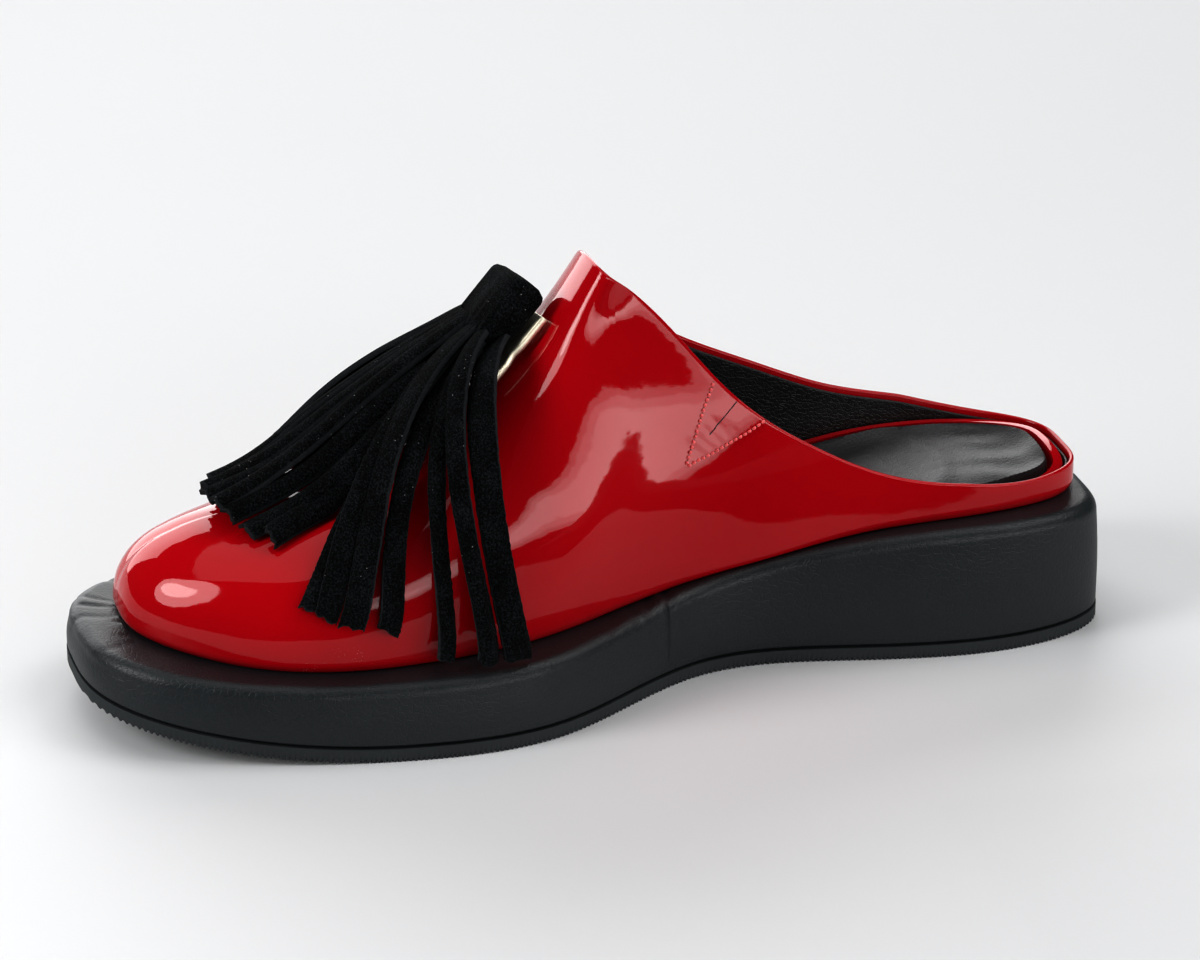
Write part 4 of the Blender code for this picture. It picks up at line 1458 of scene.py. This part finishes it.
            moved = sideways[step] * spread[:, None] + out[step] * level[:, None]
            moved += ahead[step] * (end_cut * near_end)[:, None]
            points = path[step] + moved * MM
            points = points + self.lift(points)
            mark = np.where(cut, 1.0, 0.0) if step < STRIP_STEPS else np.ones(len(section))
            rows.append(mass.add(points, mark))
        mass.grid(rows)
        for end in (rows[0], rows[-1]):
            for k in range(count - 1):
                mass.faces.append([int(end[i]) for i in (k, k + 1, 2 * count - 2 - k, 2 * count - 1 - k)])

    def lift(self, points):
        """How far a section has to move to lie clear of the upper and of the platform's ledge."""
        worst, away = 0.0, Vector()
        for point in points:
            near, out, _, _ = self.tree.find_nearest(Vector(point))
            short = self.clearance * MM - (Vector(point) - near).dot(out)
            if short > worst:
                worst, away = short, out
        moved = points + np.array(away * worst)
        ledge = (PLATFORM_TOP(SOLE_LENGTH / 2 - moved[:, 1] / MM) + self.clearance) * MM
        rise = max(float((ledge - moved[:, 2]).max()), 0.0)
        return np.array(away * worst) + np.array((0.0, 0.0, rise))


class MULE_OT_stitches(bpy.types.Operator):
    """Make the stitched mark on the inner side"""

    bl_idname = "mule.stitches"
    bl_label = "Stitches"

    sides = 8
    slit_width = 0.32
    slit_pitch = 1.0
    hole = 0.2
    hole_back = 0.12
    hole_rise = 0.06
    far_side = 150.0
    stitch_share = 0.8
    stitch_steps = 0.0, 0.12, 0.3, 0.5, 0.7, 0.88, 1.0
    arch_rise = 1.1
    end_sink = 0.2
    end_girth = 0.55
    arch_girth = 0.45

    def execute(self, context):
        sizes = context.scene.mule_sizes
        self.tree = tree_of(need_piece("upper_skin").data)
        mass = Mass()
        for line in STITCH_LINES:
            self.sew(mass, line, sizes.stitch, sizes.thread / 2)
        add_piece(
            "mark_stitches", mass.mesh("mark_stitches"),
            thread("thread_coral", context.scene.mule_colours.thread))
        # The needle holes and the slit are dark discs and a dark strip: painted shade where these recesses
        # fall into shade
        gaps = Mass()
        for line in STITCH_LINES:
            self.prick(gaps, line, sizes.stitch)
        self.cut_slit(gaps)
        # The thread's finish in a dark red carries the painted shade of the holes and the slit
        add_piece(
            "mark_gaps", gaps.mesh("mark_gaps"),
            thread("gap_painted_shade", context.scene.mule_colours.gap))
        return {"FINISHED"}

    def turns(self):
        """Angles round a thread or a needle hole."""
        return [2 * math.pi * k / self.sides for k in range(self.sides)]

    def prick(self, mass, line, pitch):
        """Dark discs of painted shade at the needle holes between the stitches."""
        knots = list(self.spaced(line, pitch))
        for (near, out), (ahead, _) in zip(knots, knots[1:]):
            near = near - (ahead - near) * self.hole_back
            sideways = out.orthogonal().normalized()
            along = out.cross(sideways)
            ring = mass.add(
                [near + (sideways * math.cos(t) + along * math.sin(t)) * self.hole * MM
                 for t in self.turns()])
            for height in (self.hole_rise, -self.hole_rise):
                tip = mass.add([near + out * height * MM])[0]
                mass.face(np.stack([ring, np.roll(ring, -1), np.full(self.sides, tip)], axis=1))

    def cut_slit(self, mass):
        """Dark line of painted shade for the slit from the collar, as a thin closed strip on the leather.
        """
        knots = list(self.spaced(SLIT_LINE, self.slit_pitch * MM))
        rows = []
        for i, (near, out) in enumerate(knots):
            ahead = knots[min(i + 1, len(knots) - 1)][0] - knots[max(i - 1, 0)][0]
            sideways = out.cross(ahead).normalized() * self.slit_width / 2 * MM
            rise = out * self.hole_rise * MM
            rows.append(mass.add([near + sideways, near + rise, near - sideways, near - rise]))
        mass.grid(rows)
        mass.faces += [rows[0].tolist(), rows[-1].tolist()]

    def on_inner_side(self, row):
        """Point and outward direction of the upper's inner side at a station and height."""
        far = Vector(to_space((row.station, self.far_side, row.height)))
        near, out, _, _ = self.tree.ray_cast(far, Vector((-1.0, 0.0, 0.0)))
        if near is None:
            raise RuntimeError(f"no upper at station {row.station} and height {row.height}")
        return near, out

    def spaced(self, line, pitch):
        """Points and directions along a line on the upper, one at each pitch."""
        ends = [self.on_inner_side(row)[0] for row in line]
        lengths = [0.0]
        for near, far in zip(ends, ends[1:]):
            lengths.append(lengths[-1] + (far - near).length)
        rows = np.array(line, float)
        for at in np.arange(0.0, lengths[-1], pitch):
            row = MarkRow(*(np.interp(at, lengths, rows[:, k]) for k in range(2)))
            yield self.on_inner_side(row)

    def sew(self, mass, line, pitch, radius):
        """Stitches along a line: short threads that dip into the leather at both ends."""
        knots = list(self.spaced(line, pitch))
        for (near, out), (far, _) in zip(knots, knots[1:]):
            ahead = (far - near) * self.stitch_share
            sideways = out.cross(ahead).normalized()
            rows = []
            for share in self.stitch_steps:
                arch = math.sin(math.pi * share)
                middle = near + ahead * share + out * radius * (self.arch_rise * arch - self.end_sink)
                girth = radius * (self.end_girth + self.arch_girth * arch)
                rows.append(mass.add(
                    [middle + (sideways * math.cos(t) + out * math.sin(t)) * girth for t in self.turns()]))
            mass.grid(rows)
            mass.faces += [rows[0].tolist(), rows[-1].tolist()]


class MULE_OT_stage(bpy.types.Operator):
    """Set the pale floor, the studio lights and the camera"""

    bl_idname = "mule.stage"
    bl_label = "Stage"

    def execute(self, context):
        self.lay_floor(context)
        self.stand_flag(context)
        for row in LIGHT_ROWS:
            self.hang_light(context, row)
        self.tint_world(context)
        self.stand_camera(context)
        return {"FINISHED"}

    def lay_floor(self, context):
        """Wide flat floor under the shoe."""
        mass = Mass()
        across = np.linspace(-FLOOR_SIZE / 2, FLOOR_FRONT, FLOOR_LINES)
        along = np.linspace(FLOOR_TOE, FLOOR_SIZE / 2, FLOOR_LINES)
        grid = np.stack([*np.meshgrid(across, along), np.zeros((FLOOR_LINES, FLOOR_LINES))], axis=-1)
        mass.grid(mass.add(grid), closed=False)
        mesh = mass.mesh("floor")
        mesh.materials.append(paper_floor("floor_paper", context.scene.mule_colours.floor))
        floor = bpy.data.objects.new("floor", mesh)
        context.scene.collection.objects.link(floor)
        floor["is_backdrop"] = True

    def stand_flag(self, context):
        """Dark block beside the heel that only the lacquer mirrors, to darken the inner wall there."""
        low, high = (np.array(corner) for corner in FLAG_BOX)
        shares = ((0, 0), (1, 0), (1, 1), (0, 1))
        mass = Mass()
        rows = []
        for height in (low[2], high[2]):
            corners = [(*(low + (high - low) * (a, b, 0))[:2], height) for a, b in shares]
            rows.append(mass.add(corners))
        mass.grid(rows)
        mass.faces += [rows[0].tolist(), rows[1].tolist()]
        mesh = mass.mesh("flag")
        mesh.materials.append(rubber("flag_black", context.scene.mule_colours.rubber))
        flag = bpy.data.objects.new("flag", mesh)
        flag.visible_camera = False
        flag.visible_diffuse = False
        flag.visible_shadow = False
        context.scene.collection.objects.link(flag)
        flag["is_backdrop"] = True

    def hang_light(self, context, row):
        """Soft panel that faces the shoe."""
        lamp = bpy.data.lights.new(row.name, "AREA")
        lamp.shape = row.shape
        lamp.size = row.width
        lamp.size_y = row.height
        share = math.pi / 4 if row.shape == "ELLIPSE" else 1.0
        lamp.energy = row.brightness * math.pi * row.width * row.height * share
        light = bpy.data.objects.new(row.name, lamp)
        azimuth, elevation = math.radians(row.azimuth), math.radians(row.elevation)
        away = Vector((math.sin(azimuth) * math.cos(elevation), -math.cos(azimuth) * math.cos(elevation),
                       math.sin(elevation)))
        facing = away.to_track_quat("Z", "Y").to_matrix().to_4x4()
        slanted = facing @ Matrix.Rotation(math.radians(row.slant), 4, "Z")
        light.matrix_world = Matrix.Translation(SHOE_MIDDLE + away * row.distance) @ slanted
        light.visible_camera = False
        context.scene.collection.objects.link(light)

    def tint_world(self, context):
        """Dim even light from all round."""
        world = bpy.data.worlds.new("studio")
        world.use_nodes = True
        tree = world.node_tree
        rays = tree.nodes.new("ShaderNodeLightPath")
        seen = tree.nodes.new("ShaderNodeMix")
        seen.inputs["A"].default_value = WORLD_LIGHT
        seen.inputs["B"].default_value = WORLD_SEEN
        tree.links.new(rays.outputs["Is Camera Ray"], seen.inputs["Factor"])
        tree.links.new(seen.outputs["Result"], tree.nodes["Background"].inputs["Strength"])
        tree.nodes["Background"].inputs["Color"].default_value = WORLD_COLOUR
        context.scene.world = world
        context.scene.view_settings.view_transform = "Standard"
        context.scene.view_settings.gamma = VIEW_GAMMA

    def stand_camera(self, context):
        """Camera at the photograph's angle to the shoe."""
        lens = bpy.data.cameras.new("camera")
        lens.lens = context.scene.mule_sizes.lens
        camera = bpy.data.objects.new("camera", lens)
        place = Vector(CAMERA_PLACE)
        aim = (place - Vector(CAMERA_AIM)).to_track_quat("Z", "Y")
        camera.matrix_world = Matrix.Translation(place) @ aim.to_matrix().to_4x4()
        context.scene.collection.objects.link(camera)
        context.scene.camera = camera


class MULE_PT_panel(bpy.types.Panel):
    """Sizes, colours and pieces of the mule"""

    bl_idname = "MULE_PT_panel"
    bl_label = "Tassel mule"
    bl_space_type = "VIEW_3D"
    bl_region_type = "UI"
    bl_category = "Mule"

    def draw(self, context):
        for group in (context.scene.mule_sizes, context.scene.mule_colours):
            box = self.layout.box()
            for name in group.__annotations__:
                box.prop(group, name)
        for operator in OPERATORS:
            self.layout.operator(operator.bl_idname)


OPERATORS = (
    MULE_OT_platform, MULE_OT_outsole, MULE_OT_upper, MULE_OT_insole, MULE_OT_plate, MULE_OT_tassel,
    MULE_OT_stitches, MULE_OT_stage,
)
CLASSES = (MuleSizes, MuleColours, *OPERATORS, MULE_PT_panel)


def register():
    """Add the classes, and the shoe's sizes and colours to the scene."""
    for entry in CLASSES:
        bpy.utils.register_class(entry)
    bpy.types.Scene.mule_sizes = PointerProperty(type=MuleSizes)
    bpy.types.Scene.mule_colours = PointerProperty(type=MuleColours)


def unregister():
    """Take the classes and the scene's values away again."""
    del bpy.types.Scene.mule_colours
    del bpy.types.Scene.mule_sizes
    for entry in reversed(CLASSES):
        bpy.utils.unregister_class(entry)


def main():
    """Dress the whole shoe, set the stage and work out the two boxes."""
    register()
    bpy.ops.mule.platform()
    bpy.ops.mule.outsole()
    bpy.ops.mule.upper()
    bpy.ops.mule.insole()
    bpy.ops.mule.plate()
    bpy.ops.mule.tassel()
    bpy.ops.mule.stitches()
    bpy.ops.mule.stage()
    boxes = {"cad": CAD_BOX, "visual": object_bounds()}
    {name: [list(corner) for corner in box] for name, box in boxes.items()}


if __name__ == "__main__":
    main()
